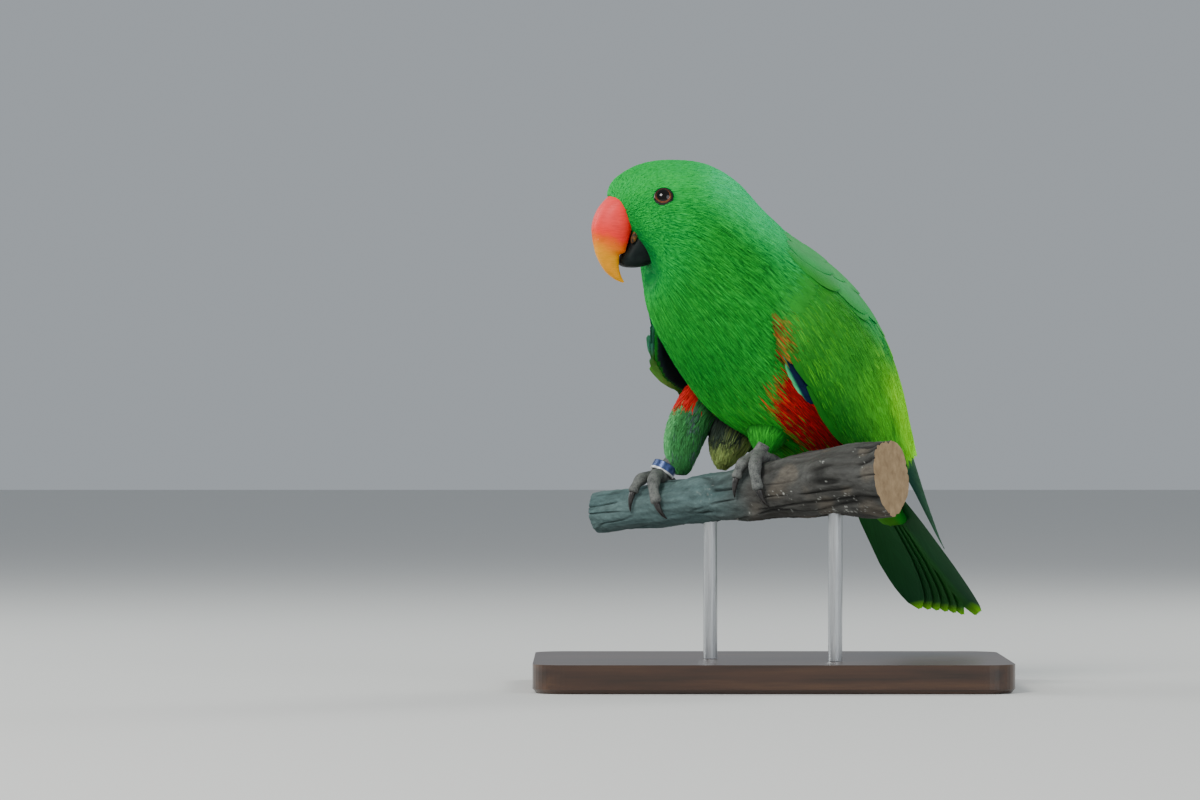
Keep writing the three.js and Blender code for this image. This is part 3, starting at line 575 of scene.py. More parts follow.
def wing_colour(s, a):
    """The plumage's colour on a folded wing, by place."""
    low = a - wing_edge(s)
    colour = mix(LEAF, DEEP, 0.8 * step(-30, -4, low) * step(14, 40, s) * step(120, 84, s))
    colour = mix(colour, EMERALD, 0.7 * step(24, 4, s))
    colour = mix(colour, LIGHT_LEAF, step(40, 86, s) * step(110, 84, a))
    # painted light: a lime glow of the light from behind along the wing's lower back edge
    colour = mix(colour, LIME, step(58, 92, s) * step(82, 66, a))
    return mix(colour, SCAPULAR, step(66, 50, a) * step(96, 50, s))


# feathers

HAIR = ([0, 0.35, 0.75, 1], [0.55, 1, 0.75, 0.06])
VANE = ([0, 0.12, 0.4, 0.68, 0.82, 0.92, 0.97, 1], [0.3, 0.55, 0.95, 1, 0.86, 0.62, 0.4, 0.1])
POINTED = ([0, 0.12, 0.4, 0.75, 0.88, 0.96, 1], [0.4, 0.7, 1, 0.92, 0.7, 0.4, 0.08])
# how far along a surface its own way is measured
NUDGE = 0.03
# the least millimetres to a degree that a feather is spread over, near a surface's pole
LEAST_AROUND = 0.12


def feathers(
    point, t, a, long, wide, low, high, outline, size=(4, 3), turn=0, keel=0.15, curl=0, roll=0, end=None,
):
    """Grids of points, one for each feather that lies on a surface from its root at (t, a).

    A feather runs for long millimetres, turned from the surface's own way, or to its end at (t, a).
    Its size is in points along and across. Gives the grids with the place of each of their points.
    """
    each = (t, a, long, wide, turn * RAD, low, high, curl)
    t, a, long, wide, turn, low, high, curl = (np.broadcast_to(v, np.shape(t))[:, None] for v in each)
    ahead = np.linalg.norm(point(t + NUDGE, a) - point(t - NUDGE, a), axis=-1) / (2 * NUDGE)
    ahead = np.maximum(ahead, 0.4 * np.median(ahead))
    u = np.linspace(0, 1, size[0])
    v = np.linspace(-1, 1, size[1])
    if end is None:
        mid_t = t + long * u * np.cos(turn) / ahead
    else:
        mid_t = t + (end[0][:, None] - t) * u
    around = np.linalg.norm(point(mid_t, a + 1) - point(mid_t, a - 1), axis=-1) / 2
    around = np.maximum(around, LEAST_AROUND)
    if end is None:
        mid_a = a + long * u * np.sin(turn) / around
        way = turn + 0 * u
    else:
        mid_a = a + (end[1][:, None] - a) * u
        way = np.arctan2((end[1][:, None] - a) * around, (end[0][:, None] - t) * ahead)
    across = (wide / 2 * np.interp(u, *outline))[..., None] * v + (curl * u**2)[..., None]
    tt = mid_t[..., None] - across * np.sin(way)[..., None] / ahead[..., None]
    aa = mid_a[..., None] + across * np.cos(way)[..., None] / around[..., None]
    out = (low + (high - low) * u)[..., None] + keel * (1 - v**2) + roll * v
    return point(tt, aa, out), tt, aa


# how wide each feather's patch is on the unwrap
PATCH = 0.003


class Coat:
    """Feathers gathered into one mesh."""

    def __init__(self, name):
        self.name, self.count = name, 0
        self.points, self.faces, self.tint, self.grain, self.uv = [], [], [], [], []

    def add(self, grid, tint, roots, base=0.72, tip=1.06):
        """grid is feathers by rows by columns, tint a colour for each feather or for each of its points,
        and roots their places on the unwrap."""
        n, rows, cols = grid.shape[:3]
        faces = grid_faces(rows, cols)
        starts = self.count + np.arange(n) * rows * cols
        self.faces.append((faces[None] + starts[:, None, None]).reshape(-1, 4))
        self.count += n * rows * cols
        self.points.append(grid.reshape(-1, 3))
        u = np.linspace(0, 1, rows)[None, :, None]
        v = np.linspace(-1, 1, cols)[None, None, :]
        # painted shade: each feather's tint falls from tip at its end to base at its root, which lies under
        # the feathers over it
        light = base + (tip - base) * np.minimum(u * 1.6, 1) + 0 * v
        tint = tint if tint.ndim == 4 else tint[:, None, None, :]
        self.tint.append(np.clip(tint * light[..., None], 0.001, 1).reshape(-1, 3))
        self.grain.append(vec(u, v * 0.5 + 0.5, rng.random((n, 1, 1))).reshape(-1, 3))
        roots = np.clip(roots, 0.01, 0.98)[:, None, None, :]
        self.uv.append((roots + vec(v * PATCH / 2, u * PATCH)).reshape(-1, 2))

    def build(self, finish, slot):
        faces = np.concatenate(self.faces)
        made = mesh_object(self.name, np.concatenate(self.points), faces)
        paint(made.data, "tint", np.concatenate(self.tint))
        paint(made.data, "grain", np.concatenate(self.grain))
        layer = made.data.uv_layers.new(name="OFBake")
        layer.data.foreach_set("uv", np.concatenate(self.uv)[faces.ravel()].astype(np.float32).ravel())
        settle(made, slot, finish)


def scatter(point, t_range, a_range, density, steps):
    """Places spread evenly over a surface: about density(t, a) for each square millimetre.

    The cells are walked row by row, every second row backwards, and a place is kept each time that
    their summed areas pass the next whole number.
    """
    ts = np.linspace(*t_range, steps[0] + 1)
    angles = np.linspace(*a_range, steps[1] + 1)
    tm, am = (ts[1:] + ts[:-1]) / 2, (angles[1:] + angles[:-1]) / 2
    t, a = np.meshgrid(tm, am, indexing="ij")
    dt, da = (ts[1] - ts[0]) / 2, (angles[1] - angles[0]) / 2
    pt = point(t + dt, a) - point(t - dt, a)
    pa = point(t, a + da) - point(t, a - da)
    weight = np.linalg.norm(np.cross(pt, pa), axis=-1) * density(t, a)
    weight[1::2] = weight[1::2, ::-1]
    total = np.cumsum(weight.ravel())
    picks = np.searchsorted(total, np.arange(rng.random(), total[-1], 1.0))
    picks = picks[picks < total.size]
    i, j = np.divmod(picks, steps[1])
    j = np.where(i % 2 == 1, steps[1] - 1 - j, j)
    return tm[i] + rng.uniform(-dt, dt, len(i)), am[j] + rng.uniform(-da, da, len(i))


def rooted(point, t_range, a_range, density, steps, grows):
    """Scattered places where grows(t, a, roots) holds, with their roots and their count."""
    t, a = scatter(point, t_range, a_range, density, steps)
    roots = point(t, a)
    keep = grows(t, a, roots)
    return t[keep], a[keep], roots[keep], np.count_nonzero(keep)


def vary(n, light=0.05, hue=0.02):
    """A factor on the colour of each of n feathers."""
    return (1 + light * rng.standard_normal((n, 1))) * (1 + hue * rng.standard_normal((n, 3)))


# materials


class Finish:
    """A material and the nodes that colour it."""

    def __init__(self, name, colour=(0.5, 0.5, 0.5), rough=0.5, metal=0.0, shine=0.5, **sockets):
        self.material = bpy.data.materials.new(name)
        self.material.use_nodes = True
        self.nodes, self.links = self.material.node_tree.nodes, self.material.node_tree.links
        self.inputs = self.nodes["Principled BSDF"].inputs
        fixed = {"Base Color": colour, "Roughness": rough, "Metallic": metal, "Specular IOR Level": shine}
        for key, value in {**fixed, **sockets}.items():
            self.set(self.inputs[key.replace("_", " ")], value)

    def set(self, socket, value):
        """Gives a socket a number, a colour, a direction or another node's output."""
        if isinstance(value, (int, float)):
            socket.default_value = value
        elif isinstance(value, tuple):
            socket.default_value = (*value, 1)[:len(socket.default_value)]
        else:
            self.links.new(value, socket)

    def node(self, kind, **values):
        made = self.nodes.new("ShaderNode" + kind)
        for key, value in values.items():
            if key in made.inputs:
                self.set(made.inputs[key], value)
            else:
                setattr(made, key, value)
        return made

    def maths(self, operation, *values):
        made = self.node("Math", operation=operation)
        for socket, value in zip(made.inputs, values):
            self.set(socket, value)
        return made.outputs[0]

    def ramp(self, factor, *stops):
        """Runs through the stops, each a place with a colour or with a number for a grey."""
        made = self.node("ValToRGB")
        self.set(made.inputs[0], factor)
        points = made.color_ramp.elements
        while len(points) < len(stops):
            points.new(0.5)
        for point, (place, colour) in zip(points, stops):
            point.position = place
            point.color = (*(colour if isinstance(colour, tuple) else (colour,) * 3), 1)
        return made.outputs[0]

    def blend(self, share, a, b, way="MIX"):
        made = self.node("Mix", data_type="RGBA", blend_type=way)
        for k, value in ((0, share), (6, a), (7, b)):
            self.set(made.inputs[k], value)
        return made.outputs[2]

    def stored(self, label, kind):
        return self.node("Attribute", attribute_name=label).outputs[kind]

    def tinted(self, light):
        """The tint painted on the mesh, times light."""
        return self.blend(1.0, self.stored("tint", "Color"), light, "MULTIPLY")

    def place(self):
        return self.node("TexCoord").outputs["Object"]

    def grain(self, cells, detail=4.0, rough=0.6, turn=(0, 0, 0)):
        """Noise over the object's own coordinates, with so many cells to the metre, alike or each way."""
        scale = cells if isinstance(cells, tuple) else (cells,) * 3
        spot = self.node("Mapping", Vector=self.place(), Scale=scale, Rotation=turn).outputs[0]
        return self.node("TexNoise", Vector=spot, Scale=1.0, Detail=detail, Roughness=rough).outputs[0]

    def colour(self, value):
        self.set(self.inputs["Base Color"], value)

    def bump(self, height, strength, depth):
        made = self.node("Bump", Strength=strength, Distance=depth, Height=height)
        self.set(self.inputs["Normal"], made.outputs[0])


def speckled(name, cells, *stops, detail=4.0, soft=0.6, bump=None, **looks):
    """A finish whose colour follows a noise; bump is its strength and depth."""
    made = Finish(name, **looks)
    cloud = made.grain(cells, detail, soft)
    made.colour(made.ramp(cloud, *stops))
    if bump:
        made.bump(cloud, *bump)
    return made


def plumage(name, rough, barbs, depth):
    """The painted tint, with fine barbs that slant from a feather's shaft."""
    made = Finish(name, rough=rough, shine=0.08)
    along, across, chance = made.node("SeparateXYZ", Vector=made.stored("grain", "Vector")).outputs
    side = made.maths("ABSOLUTE", made.maths("SUBTRACT", across, 0.5))
    slant = made.maths("SUBTRACT", along, made.maths("MULTIPLY", side, 0.7))
    stretched = [made.maths("MULTIPLY", *pair) for pair in ((slant, barbs), (side, 2.5), (chance, 40.0))]
    where = made.node("CombineXYZ", **dict(zip("XYZ", stretched))).outputs[0]
    fine = made.node("TexNoise", Vector=where, Scale=1.0, Detail=3.0, Roughness=0.6).outputs[0]
    colour = made.tinted(made.ramp(fine, (0.3, 1 - depth), (0.7, 1 + 0.8 * depth)))
    shaft = made.ramp(side, (0.0, 1), (0.03, 0))
    made.colour(made.blend(made.maths("MULTIPLY", shaft, 0.1), colour, (0.02, 0.05, 0.02)))
    made.bump(fine, 0.2, 0.0003)
    return made


def horn(name, rough, shine, scratch, pale):
    """The painted tint with fine lines and paler scratches."""
    made = Finish(name, rough=rough, shine=shine)
    lines = made.grain((260, 260, 1500), 6.0, 0.7, (0.5, 0.3, 0.2))
    scratches = made.ramp(made.grain(420, 5.0, 0.7), (0.66, 0), (0.74, 1))
    colour = made.tinted(made.ramp(lines, (0.3, 0.84), (0.65, 1.06)))
    made.colour(made.blend(made.maths("MULTIPLY", scratches, scratch), colour, pale))
    made.set(made.inputs["Roughness"], made.ramp(lines, (0.3, rough + 0.12), (0.7, rough - 0.06)))
    made.bump(lines, 0.1, 0.0004)
    return made


HAIR_COAT = plumage("plumage_fine", 0.7, 3.0, 0.08)
WING_COAT = plumage("plumage_vanes", 0.6, 60.0, 0.16)

# the skin under the coat

SKIN_DEPTH, LIMB_DEPTH = -2.2, -1.3
SKIN_VOXEL, SKIN_PASSES = 1.25, 4
FLESH = ("head", "neck", "torso", "tail", "wing_left", "wing_right", "leg_left", "leg_right")
# painted shade: the limbs' skin under their tufts takes their plumage's colour dimmed
LIMB_SKIN_SHADE = {"right": 0.5 * LEG_GREEN, "left": 0.5 * BELLY, "fluff": 0.7 * FLUFF_SHADE}
TAIL_BED = [100, 150]


def wing_bed(hand):
    """The flesh of a folded wing: its top, its underside and the colours of both, as painted shade under the
    feathers: dimmed on top and mostly near-black underneath.
    """
    s = np.linspace(1, 120, 50)[:, None]
    share = np.linspace(0, 1, 30)[None, :]
    angle = 36 + (wing_edge(s, hand) - 37) * share
    rim = 0.8 * np.abs(share * 2 - 1) ** 6
    top = WING[hand](s, angle, top_at(s, angle, hand) + SKIN_DEPTH - rim)
    under = WING[hand](s, angle, np.interp(s, [1, 90, 120], [-5, -4.5, -3]) + rim)
    below = mix(UNDERWING_SHADE, 0.5 * wing_colour(s, angle), step(58, 46, angle))
    return top, under, 0.6 * wing_colour(s, angle), below


parts = [loft("skin", body_point(np.linspace(0, BODY_END, 150)[:, None], np.arange(120) * 3.0, SKIN_DEPTH))]
# places on the skin and its colour there: the plumage's colour dimmed, as painted shade between the feathers
grid_t, grid_a = np.meshgrid(np.linspace(0, BODY_END, 260), np.arange(-180, 180, 3.0), indexing="ij")
marks = [(body_point(grid_t, grid_a, SKIN_DEPTH), 0.7 * body_colour(grid_t, grid_a))]
for hand, _ in SIDES:
    top, under, above, below = wing_bed(hand)
    parts.append(loft("bed", np.concatenate([top, under[:, ::-1]], 1)))
    marks += [(top, above), (under, below)]
for name, surface in LEG.items():
    along = np.linspace(0, len(LEGS[name]) - 1.4, 30)[:, None]
    rings = surface(along, np.arange(36)[None, :] * 10.0, LIMB_DEPTH)
    parts.append(loft("leg", rings))
    marks.append((rings, LIMB_SKIN_SHADE[name] + 0 * rings))
s = np.linspace(*TAIL_BED, 12)[:, None]
ring = np.linspace(0, 2 * np.pi, 40, endpoint=False)[None, :]
wide, tall = np.interp(s, TAIL_BED, [12, 15]), np.interp(s, TAIL_BED, [6, 1.2])
parts.append(loft("tail_bed", rear_point(s, wide * np.cos(ring), tall * np.sin(ring))))
skin = fused("skin", parts, SKIN_VOXEL, SKIN_PASSES)
mark_points, mark_colours = (np.concatenate([pair[k].reshape(-1, 3) for pair in marks]) for k in (0, 1))
lookup = KDTree(len(mark_points))
for i, p in enumerate(mark_points):
    lookup.insert(p, i)
lookup.balance()
paint(skin.data, "tint", mark_colours[[lookup.find(p)[1] for p in vertices(skin)]])
skin_finish = Finish("skin", rough=0.85, shine=0.05)
skin_finish.colour(skin_finish.stored("tint", "Color"))
settle(skin, "feathers", skin_finish, replaces=FLESH)

# the fine coat of head, neck, breast, belly and back

COAT_END = 13.6
COAT_NAMES = ["coat_face", "coat_head", "coat_neck", "coat_breast", "coat_belly"]
# along the body: tufts for each square millimetre, their length and width, and how far their light varies
TUFTS = ([0, 1, 3, 5, 8, 12, 14], [4.8, 4.2, 3.4, 2.9, 2.3, 1.8, 1.4])
TUFT_LONG = ([0, 1, 3, 5, 8, 11, 14], [2.2, 2.8, 4.4, 7.5, 10, 11.5, 11])
TUFT_WIDE = ([0, 2, 5, 8, 14], [0.4, 0.42, 0.46, 0.52, 0.8])
TUFT_LIGHT = ([0, 3, 6, 9], [0.1, 0.14, 0.26, 0.26])
bill_tree = tree_of("bill_upper", "bill_lower")
body_tree = tree_of("torso")
limb_tree = tree_of("leg_left", "leg_right")


def eye_place(hand):
    """On the coat over an eye, the way it looks, and the ways across and up it."""
    t, a = EYE_T, hand * EYE_ANGLE
    ahead = body_point(t + 0.2, a) - body_point(t - 0.2, a)
    look = unit(np.cross(ahead, body_point(t, a + 5) - body_point(t, a - 5)))
    spot = body_point(t, a)
    look = look * np.sign(look @ (spot - curve(BODY, t)[:3]))
    across = unit(np.cross(look, [0, 0, 1]))
    return spot, look, across, np.cross(across, look)


def from_eye(points):
    """How far points lie from the nearer eye's middle, with the lids' shape evened out."""
    far = []
    for hand, _ in SIDES:
        spot, look, across, upward = eye_place(hand)
        d = points - spot
        far.append(np.sqrt((d @ across) ** 2 + (d @ upward * LID_WIDE / LID_TALL) ** 2 + (d @ look) ** 2))
    return np.minimum(*far)


def uncovered(t, a, roots):
    """Where tufts grow: not under the wings, nor over the eyes, the bill and the legs."""
    s, under, left = wing_place(roots)
    far_edge = wing_edge(s, -1)
    edge = np.where(left, wing_edge(s), far_edge + wrist_turn(s, far_edge, -1))
    winged = (s > 7) & (s < 118) & (under > 36) & (under < edge - 6)
    eyed = from_eye(roots) <= LID_WIDE + LID_THICK * 0.6
    legged = inside(limb_tree, roots, -1.0) & (t >= 9)
    return ~(winged | eyed | legged | inside(bill_tree, roots, 0.5))


t, a, roots, n = rooted(
    body_point, (0.1, COAT_END), (-180, 180), lambda t, a: np.interp(t, *TUFTS), (220, 300), uncovered,
)
crown = step(80, 40, np.abs(a)) * step(9, 7, t)
long = np.interp(t, *TUFT_LONG) * rng.uniform(0.75, 1.25, n)
wide = np.interp(t, *TUFT_WIDE) * rng.uniform(0.8, 1.3, n) * (1 + 0.9 * crown)
turn = rng.normal(0, 2, n) + 4 * noise(roots, 18, 3)
layer = rng.uniform(0, 0.75, n) * (1 - 0.4 * crown) + 0.1 * crown
chance = rng.normal(0, 4, n) + np.where(rng.random(n) < 0.05, -14, 0) + 4 * noise(roots, 6, 9)
streak = (np.interp(t, *TUFT_LIGHT) * (1 - 0.7 * crown))[:, None] * rng.standard_normal((n, 1))
cloud = 0.06 * noise(roots, 9, 5)[:, None] + 0.04 * noise(roots, 3.5, 6)[:, None]
hue = 1 + np.array([0.35, 0.03, 0.08]) * rng.standard_normal((n, 3))
colour = body_colour(t, a, chance) * np.maximum(1 + streak + cloud, 0.4) * np.maximum(hue, 0.3)
grid, _, _ = feathers(
    body_point, t, a, long, wide, layer - 1.6, layer - 0.9, HAIR, turn=turn, keel=0.2,
    curl=rng.normal(0, 0.15, n),
)
# painted shade at the tufts' roots, less of it on the crown
root_shade = 0.55 + 0.3 * crown
for name, chosen in zip(COAT_NAMES, np.array_split(np.argsort(t, kind="stable"), len(COAT_NAMES))):
    first, last = t[chosen].min(), t[chosen].max()
    coat = Coat(name)
    uv = vec(0.01 + 0.97 * (a[chosen] + 180) / 360, 0.01 + 0.97 * (t[chosen] - first) / (last - first))
    coat.add(grid[chosen], colour[chosen], uv, base=root_shade[chosen, None, None])
    coat.build(HAIR_COAT, "feathers")

# the legs' coat

LIMB_TUFTS = 1.8


def limb_colour(name, roots, cloud):
    """The colour of a limb's tufts by their roots' places."""
    high = roots[:, 2]
    if name == "left":
        colour = mix(BELLY, BELLY_EDGE, 0.6 * step(124, 116, high))
        # painted shade: the left leg's tufts grow darker towards the bottom, under the belly
        return colour * (0.36 + 0.6 * step(120, 140, high))[:, None]
    if name == "fluff":
        # painted shade at the fluff's top, its own yellow-green lower down
        return mix(FLUFF_SHADE, FLUFF_LIGHT, step(131, 120, high + 6 * cloud))
    rows = LEGS[name][::-1]
    # painted rim light on the tufts along the leg's edge towards lower x
    rim = roots[:, 0] - np.interp(high, rows[:, 2], rows[:, 0] - rows[:, 3])
    colour = mix(mix(LEG_GREEN, LEG_GREY, 0.8 * step(0.25, 0.6, cloud)), LEG_RIM_LIGHT, 0.8 * step(4, 1, rim))
    return mix(colour, FLANK_RED, high + 2.5 * cloud > 143.5)


coat = Coat("coat_legs")
for k, (name, surface) in enumerate(LEG.items()):
    last = len(LEGS[name]) - 1
    t, a, roots, n = rooted(
        surface, (0.2, last - 0.7), (-180, 180), lambda t, a: LIMB_TUFTS + 0 * t, (60, 90),
        lambda t, a, roots: ~inside(body_tree, roots, -0.5),
    )
    colour = limb_colour(name, roots, noise(roots, 6, 8) + 0.3 * rng.standard_normal(n))
    grid, _, _ = feathers(
        surface, t, a, rng.uniform(6, 10.5, n), rng.uniform(0.6, 1.1, n), -1.3 + 0.4 * rng.random(n),
        -0.6 + 0.9 * rng.random(n), HAIR, turn=rng.normal(0, 8, n), keel=0.18, curl=rng.normal(0, 0.5, n),
    )
    uv = vec((k + 0.03 + 0.94 * (a + 180) / 360) / len(LEG), 0.03 + 0.94 * t / last)
    coat.add(grid, colour * vary(n, 0.22, 0.03), uv, base=0.62)
coat.build(HAIR_COAT, "feathers")

# the wings

# start, length, width, feathers across and how deep the roots lie
COVERTS = [
    (44, 46, 11.5, 12, 0.9), (33, 36, 10.5, 12, 0.75), (23, 31, 9.5, 13, 0.65), (14, 26, 9, 13, 0.6),
    (6, 22, 8, 14, 0.6), (-2, 19, 7, 14, 0.6),
]
# the scapulars, from the lowest up: root, angle there, length, width and turn
SCAPULARS = [
    (30, 55, 24, 13, -2), (40, 33, 44, 17, 0), (30, 37, 46, 17, 0), (21, 43, 44, 17, 0), (10, 49, 42, 16, 2),
    (-4, 55, 34, 15, 3), (10, 33, 38, 16, 0), (0, 40, 36, 15, 1), (-7, 47, 32, 14, 2), (-8, 35, 30, 14, 0),
]
# where the small blue feathers of the bend start, for each wing
BEND = {1: np.arange(24, 42, 4.0), -1: np.arange(-4, 30, 3.5)}
# how many long feathers each wing has, in each of two layers
QUILLS = 10
SHADED_LEAF = shade(50, 120, 66)


def lies(hand):
    """The top of a wing's coat, as a surface."""
    return lambda s, a, out=0.0: WING[hand](s, a, top_at(s, a, hand) + out)


def wing_hue(s, a, hand):
    """A wing's colour; the far wing's front edge is painted much paler, as painted light on feathers that lie
    in shade.
    """
    near = step(-20, -8, a - wing_edge(s, -1)) * (hand < 0)
    colour = mix(wing_colour(s, a), FAR_GREEN_PAINTED_LIGHT, near * step(54, 40, s))
    return mix(colour, FAR_CYAN_PAINTED_LIGHT, near * step(20, 12, s))


def quill_hue(s, a, hand):
    return mix(wing_colour(s, a), BLUE + 0.1 * LEAF, 0.95 * step(98, 134, s))


def bend_hue(s, a, hand):
    """Blue with a pale rim; on the far wing, pale cyan to green painted as light on its shaded edge."""
    if hand < 0:
        return mix(FAR_GREEN_PAINTED_LIGHT, FAR_CYAN_PAINTED_LIGHT, step(22, 14, s))
    return mix(BLUE, TEAL, step(wing_edge(s) + 2.6, wing_edge(s) + 4.4, a))


def lay(coat, hand, s, a, long, wide, low, high, tone=wing_hue, outline=VANE, size=(14, 9), **ways):
    """Vanes on a wing from roots about (s, a), with the colour of their places there."""
    n = len(s)
    s, a = s + rng.normal(0, 0.9, n), a + rng.normal(0, 0.6, n)
    long = long * rng.uniform(0.94, 1.06, n)
    ways = {"keel": 0.25, "roll": 0.14, **ways}
    grid, tt, aa = feathers(lies(hand), s, a, long, wide, low, high, outline, size, **ways)
    cloud = 1 + 0.09 * noise(grid, 7, 4) + 0.06 * noise(grid, 2.5, 5)
    tint = tone(tt, aa, hand) * vary(n, 0.035)[:, None, None, :] * cloud[..., None]
    coat.add(grid, tint, vec(0.02 + 0.95 * a / 130, 0.02 + 0.95 * (s + 20) / 120), base=0.93, tip=1.03)


def vanes(coat, hand):
    """The wing's long feathers, the blue ones at its bend, the coverts and the scapulars."""
    k = np.linspace(0, 1, QUILLS)
    count = np.arange(QUILLS)
    # from the wing's lower edge up, each a little shorter than the last
    tips = 190 - 52 * k**1.15, 43 + 24 * k
    lay(coat, hand, 62 + 12 * k, 112 - 22 * k, 1.0, 12 - 1.5 * k, -2.4 + 0.06 * count, -1.2 + 0.09 * count,
        quill_hue, POINTED, (18, 7), end=tips)
    tips = 120 + 19 * k, 105 - 76 * k
    low, high = -1.5 + 0.3 * k, -0.3 + 0.4 * k
    lay(coat, hand, 60 + 0 * k, 114 - 75 * k, 1.0, 14.5, low, high, size=(18, 9), end=tips)
    s = BEND[hand]
    start = wing_edge(s, hand) + (-2 if hand < 0 else 2.4)
    lay(coat, hand, s, start, 15.0, 6.6, -1.9, -1.3, bend_hue, size=(14, 11))
    for row, (start, long, wide, count, deep) in enumerate(COVERTS):
        share = (np.arange(count) + (0.25 if row % 2 else 0.75)) / count
        angle = 38 + (wing_edge(start + long * 0.5, hand) - 42) * share
        s = start + 2 * np.sin(share * 3)
        angle = np.minimum(angle, wing_edge(s, hand) + 3)
        turn = 11 * step(0, -30, angle - wing_edge(s, hand))
        lay(coat, hand, s, angle, float(long), wide, -deep, 0.05, turn=turn)
    for k, (start, angle, long, wide, turn) in enumerate(SCAPULARS):
        low, high = -0.7 + 0.05 * k, 0.3 + 0.05 * k + 0.7 * step(38, 50, angle)
        s, a = np.array([float(start)]), np.array([float(angle)])
        lay(coat, hand, s, a, float(long), wide, low, high, size=(20, 11), keel=0.35, turn=turn)


def strand_roots(hand, *where, past):
    """Roots spread over a wing, up to an angle past its lower edge."""
    return rooted(lies(hand), *where, lambda t, a, roots: a < wing_edge(t, hand) + past)


def strand_uv(t, a):
    return vec(0.02 + 0.95 * (a - 20) / 110, 0.02 + 0.9 * (t + 12) / 140)


def shoulder(coat, hand):
    """Body feathers that lap over the wing's front, with the flank's red among the left one's."""
    t, a, _, n = strand_roots(
        hand, (-11, 24), (24, 118), lambda s, a: 2.1 * step(-11, -5, s) * step(30, 10, s), (60, 120),
        past=9 if hand > 0 else -1,
    )
    long = np.interp(t, [-8, 20], [7.5, 9]) * rng.uniform(0.75, 1.25, n)
    wide = np.interp(t, [-8, 20], [0.7, 1.0]) * rng.uniform(0.7, 1.3, n)
    lift = rng.uniform(0, 0.5, n)
    turn = rng.normal(0, 3, n)
    grid, _, _ = feathers(lies(hand), t, a, long, wide, lift - 1.2, lift - 0.35, HAIR, turn=turn)
    here = mix(body_colour(np.minimum(8 + t / 24, 8.25), a), wing_hue(t, a, hand), step(-2, 16, t))
    here = mix(here, SHADED_LEAF, 0.45 * step(104, 84, a) * step(44, 64, a) * step(-4, 6, t))
    if hand > 0:
        red = rng.uniform(0.2, 0.9, n) * (a > 97 + rng.normal(0, 4, n)) * (rng.random(n) < 0.75)
        here = mix(here, 0.7 * FLANK_RED, red * step(6, 9, t))
    coat.add(grid, here * vary(n, 0.28, 0.03), strand_uv(t, a), base=0.58)


def barb_density(s, a):
    """Few barbs lie on the scapulars."""
    return 1.8 * step(6, 26, s) * (1 - 0.92 * step(68, 56, a) * step(74, 54, s))


def barbs(coat, hand):
    """Long barbs along the wing's vanes, some pale and some dark."""
    past = -4 if hand > 0 else -12
    t, a, roots, n = strand_roots(hand, (8, 118), (40, 120), barb_density, (100, 120), past=past)
    lift = rng.uniform(0, 0.3, n)
    grid, _, _ = feathers(
        lies(hand), t, a, rng.uniform(7, 15, n), rng.uniform(0.3, 0.75, n), lift - 0.3, lift + 0.1, HAIR,
        turn=rng.normal(9, 4, n) + 6 * noise(roots, 12, 14), keel=0.04,
    )
    pale = np.clip(0.3 * rng.standard_normal(n) + 0.35 * noise(roots, 9, 12), 0, 0.55)
    dark = np.clip(0.3 * rng.standard_normal(n) + 0.3 * noise(roots, 12, 15), 0, 0.55)
    here = mix(wing_hue(t, a, hand), LIGHT_LEAF, pale * step(52, 66, a))
    here = mix(here, DEEP, dark * step(60, 84, a) + 0.25 * dark)
    coat.add(grid, here * vary(n, 0.12, 0.04), strand_uv(t, a), base=0.92)


for hand, side_name in SIDES:
    for name, grow, finish, slot in (
        ("coat_wing", vanes, WING_COAT, "flight_feathers"),
        ("coat_shoulder", shoulder, HAIR_COAT, "feathers"),
        ("coat_barbs", barbs, HAIR_COAT, "feathers"),
    ):
        coat = Coat(f"{name}_{side_name}")
        grow(coat, hand)
        coat.build(finish, slot)

# the tail

# pairs of long tail feathers, and how far the short ones spread, in degrees each way
TAIL_PAIRS, TAIL_SPREAD = 6, 26
# the short feathers over and under the tail: height at their root, which way they lie and colour
TAIL_COVERTS = ((9.5, 1, LEAF), (-8.5, -1, BELLY_EDGE))
coat = Coat("coat_tail")


def tail_vane(root, tip, place, wide, tone, rows=20, cols=9):
    """One feather of the tail; place gives side and height at (share along, millimetres across)."""
    u = np.linspace(0, 1, rows)[:, None]
    v = np.linspace(-1, 1, cols)[None, :]
    side, high = place(u, wide / 2 * np.interp(u, *VANE) * v)
    grid = rear_point(root + (tip - root) * u + 0 * v, side, high + 0.3 * (1 - v * v))
    spot = np.array([[0.5 + side[0, 0] / 60, 0.05 + (root - 90) / 60]])
    tint = tone(u + 0 * v)[None] * vary(1)[:, None, None, :] * (1 + 0.06 * noise(grid, 6, 4))[None, ..., None]
    coat.add(grid[None], tint, spot, base=0.92, tip=1.02)


for i in range(TAIL_PAIRS):
    for hand, _ in SIDES:
        def place(u, across):
            side = hand * (1.2 * i + 2 + u * 2.5 * i + u * 3) + across
            return side, 3 - 0.85 * i * u - 0.006 * side * side

        def tone(u):
            return mix(mix(LEAF * 0.8, BLUE, 0.08 * i + 0.2 * u), LIME, step(0.965, 1, u))

        tail_vane(118, 232 - 2.2 * i, place, 21, tone)
for high, sign, plain in TAIL_COVERTS:
    for row in range(4):
        for spread in np.linspace(-1, 1, 6) * TAIL_SPREAD * RAD:
            def place(u, across):
                tall = high + sign * (2.0 - 9 * (u * 0.85 + row * 0.07) * (1 if sign > 0 else 0.7))
                side = np.sin(spread) * 17 + across
                return side, tall - sign * (1 - np.cos(spread)) * 14 - sign * 0.004 * side * side
            tail_vane(98 + 7 * row, 132 + 8 * row, place, 12, lambda u: plain + 0 * u[..., None], 14, 7)
coat.build(WING_COAT, "flight_feathers")

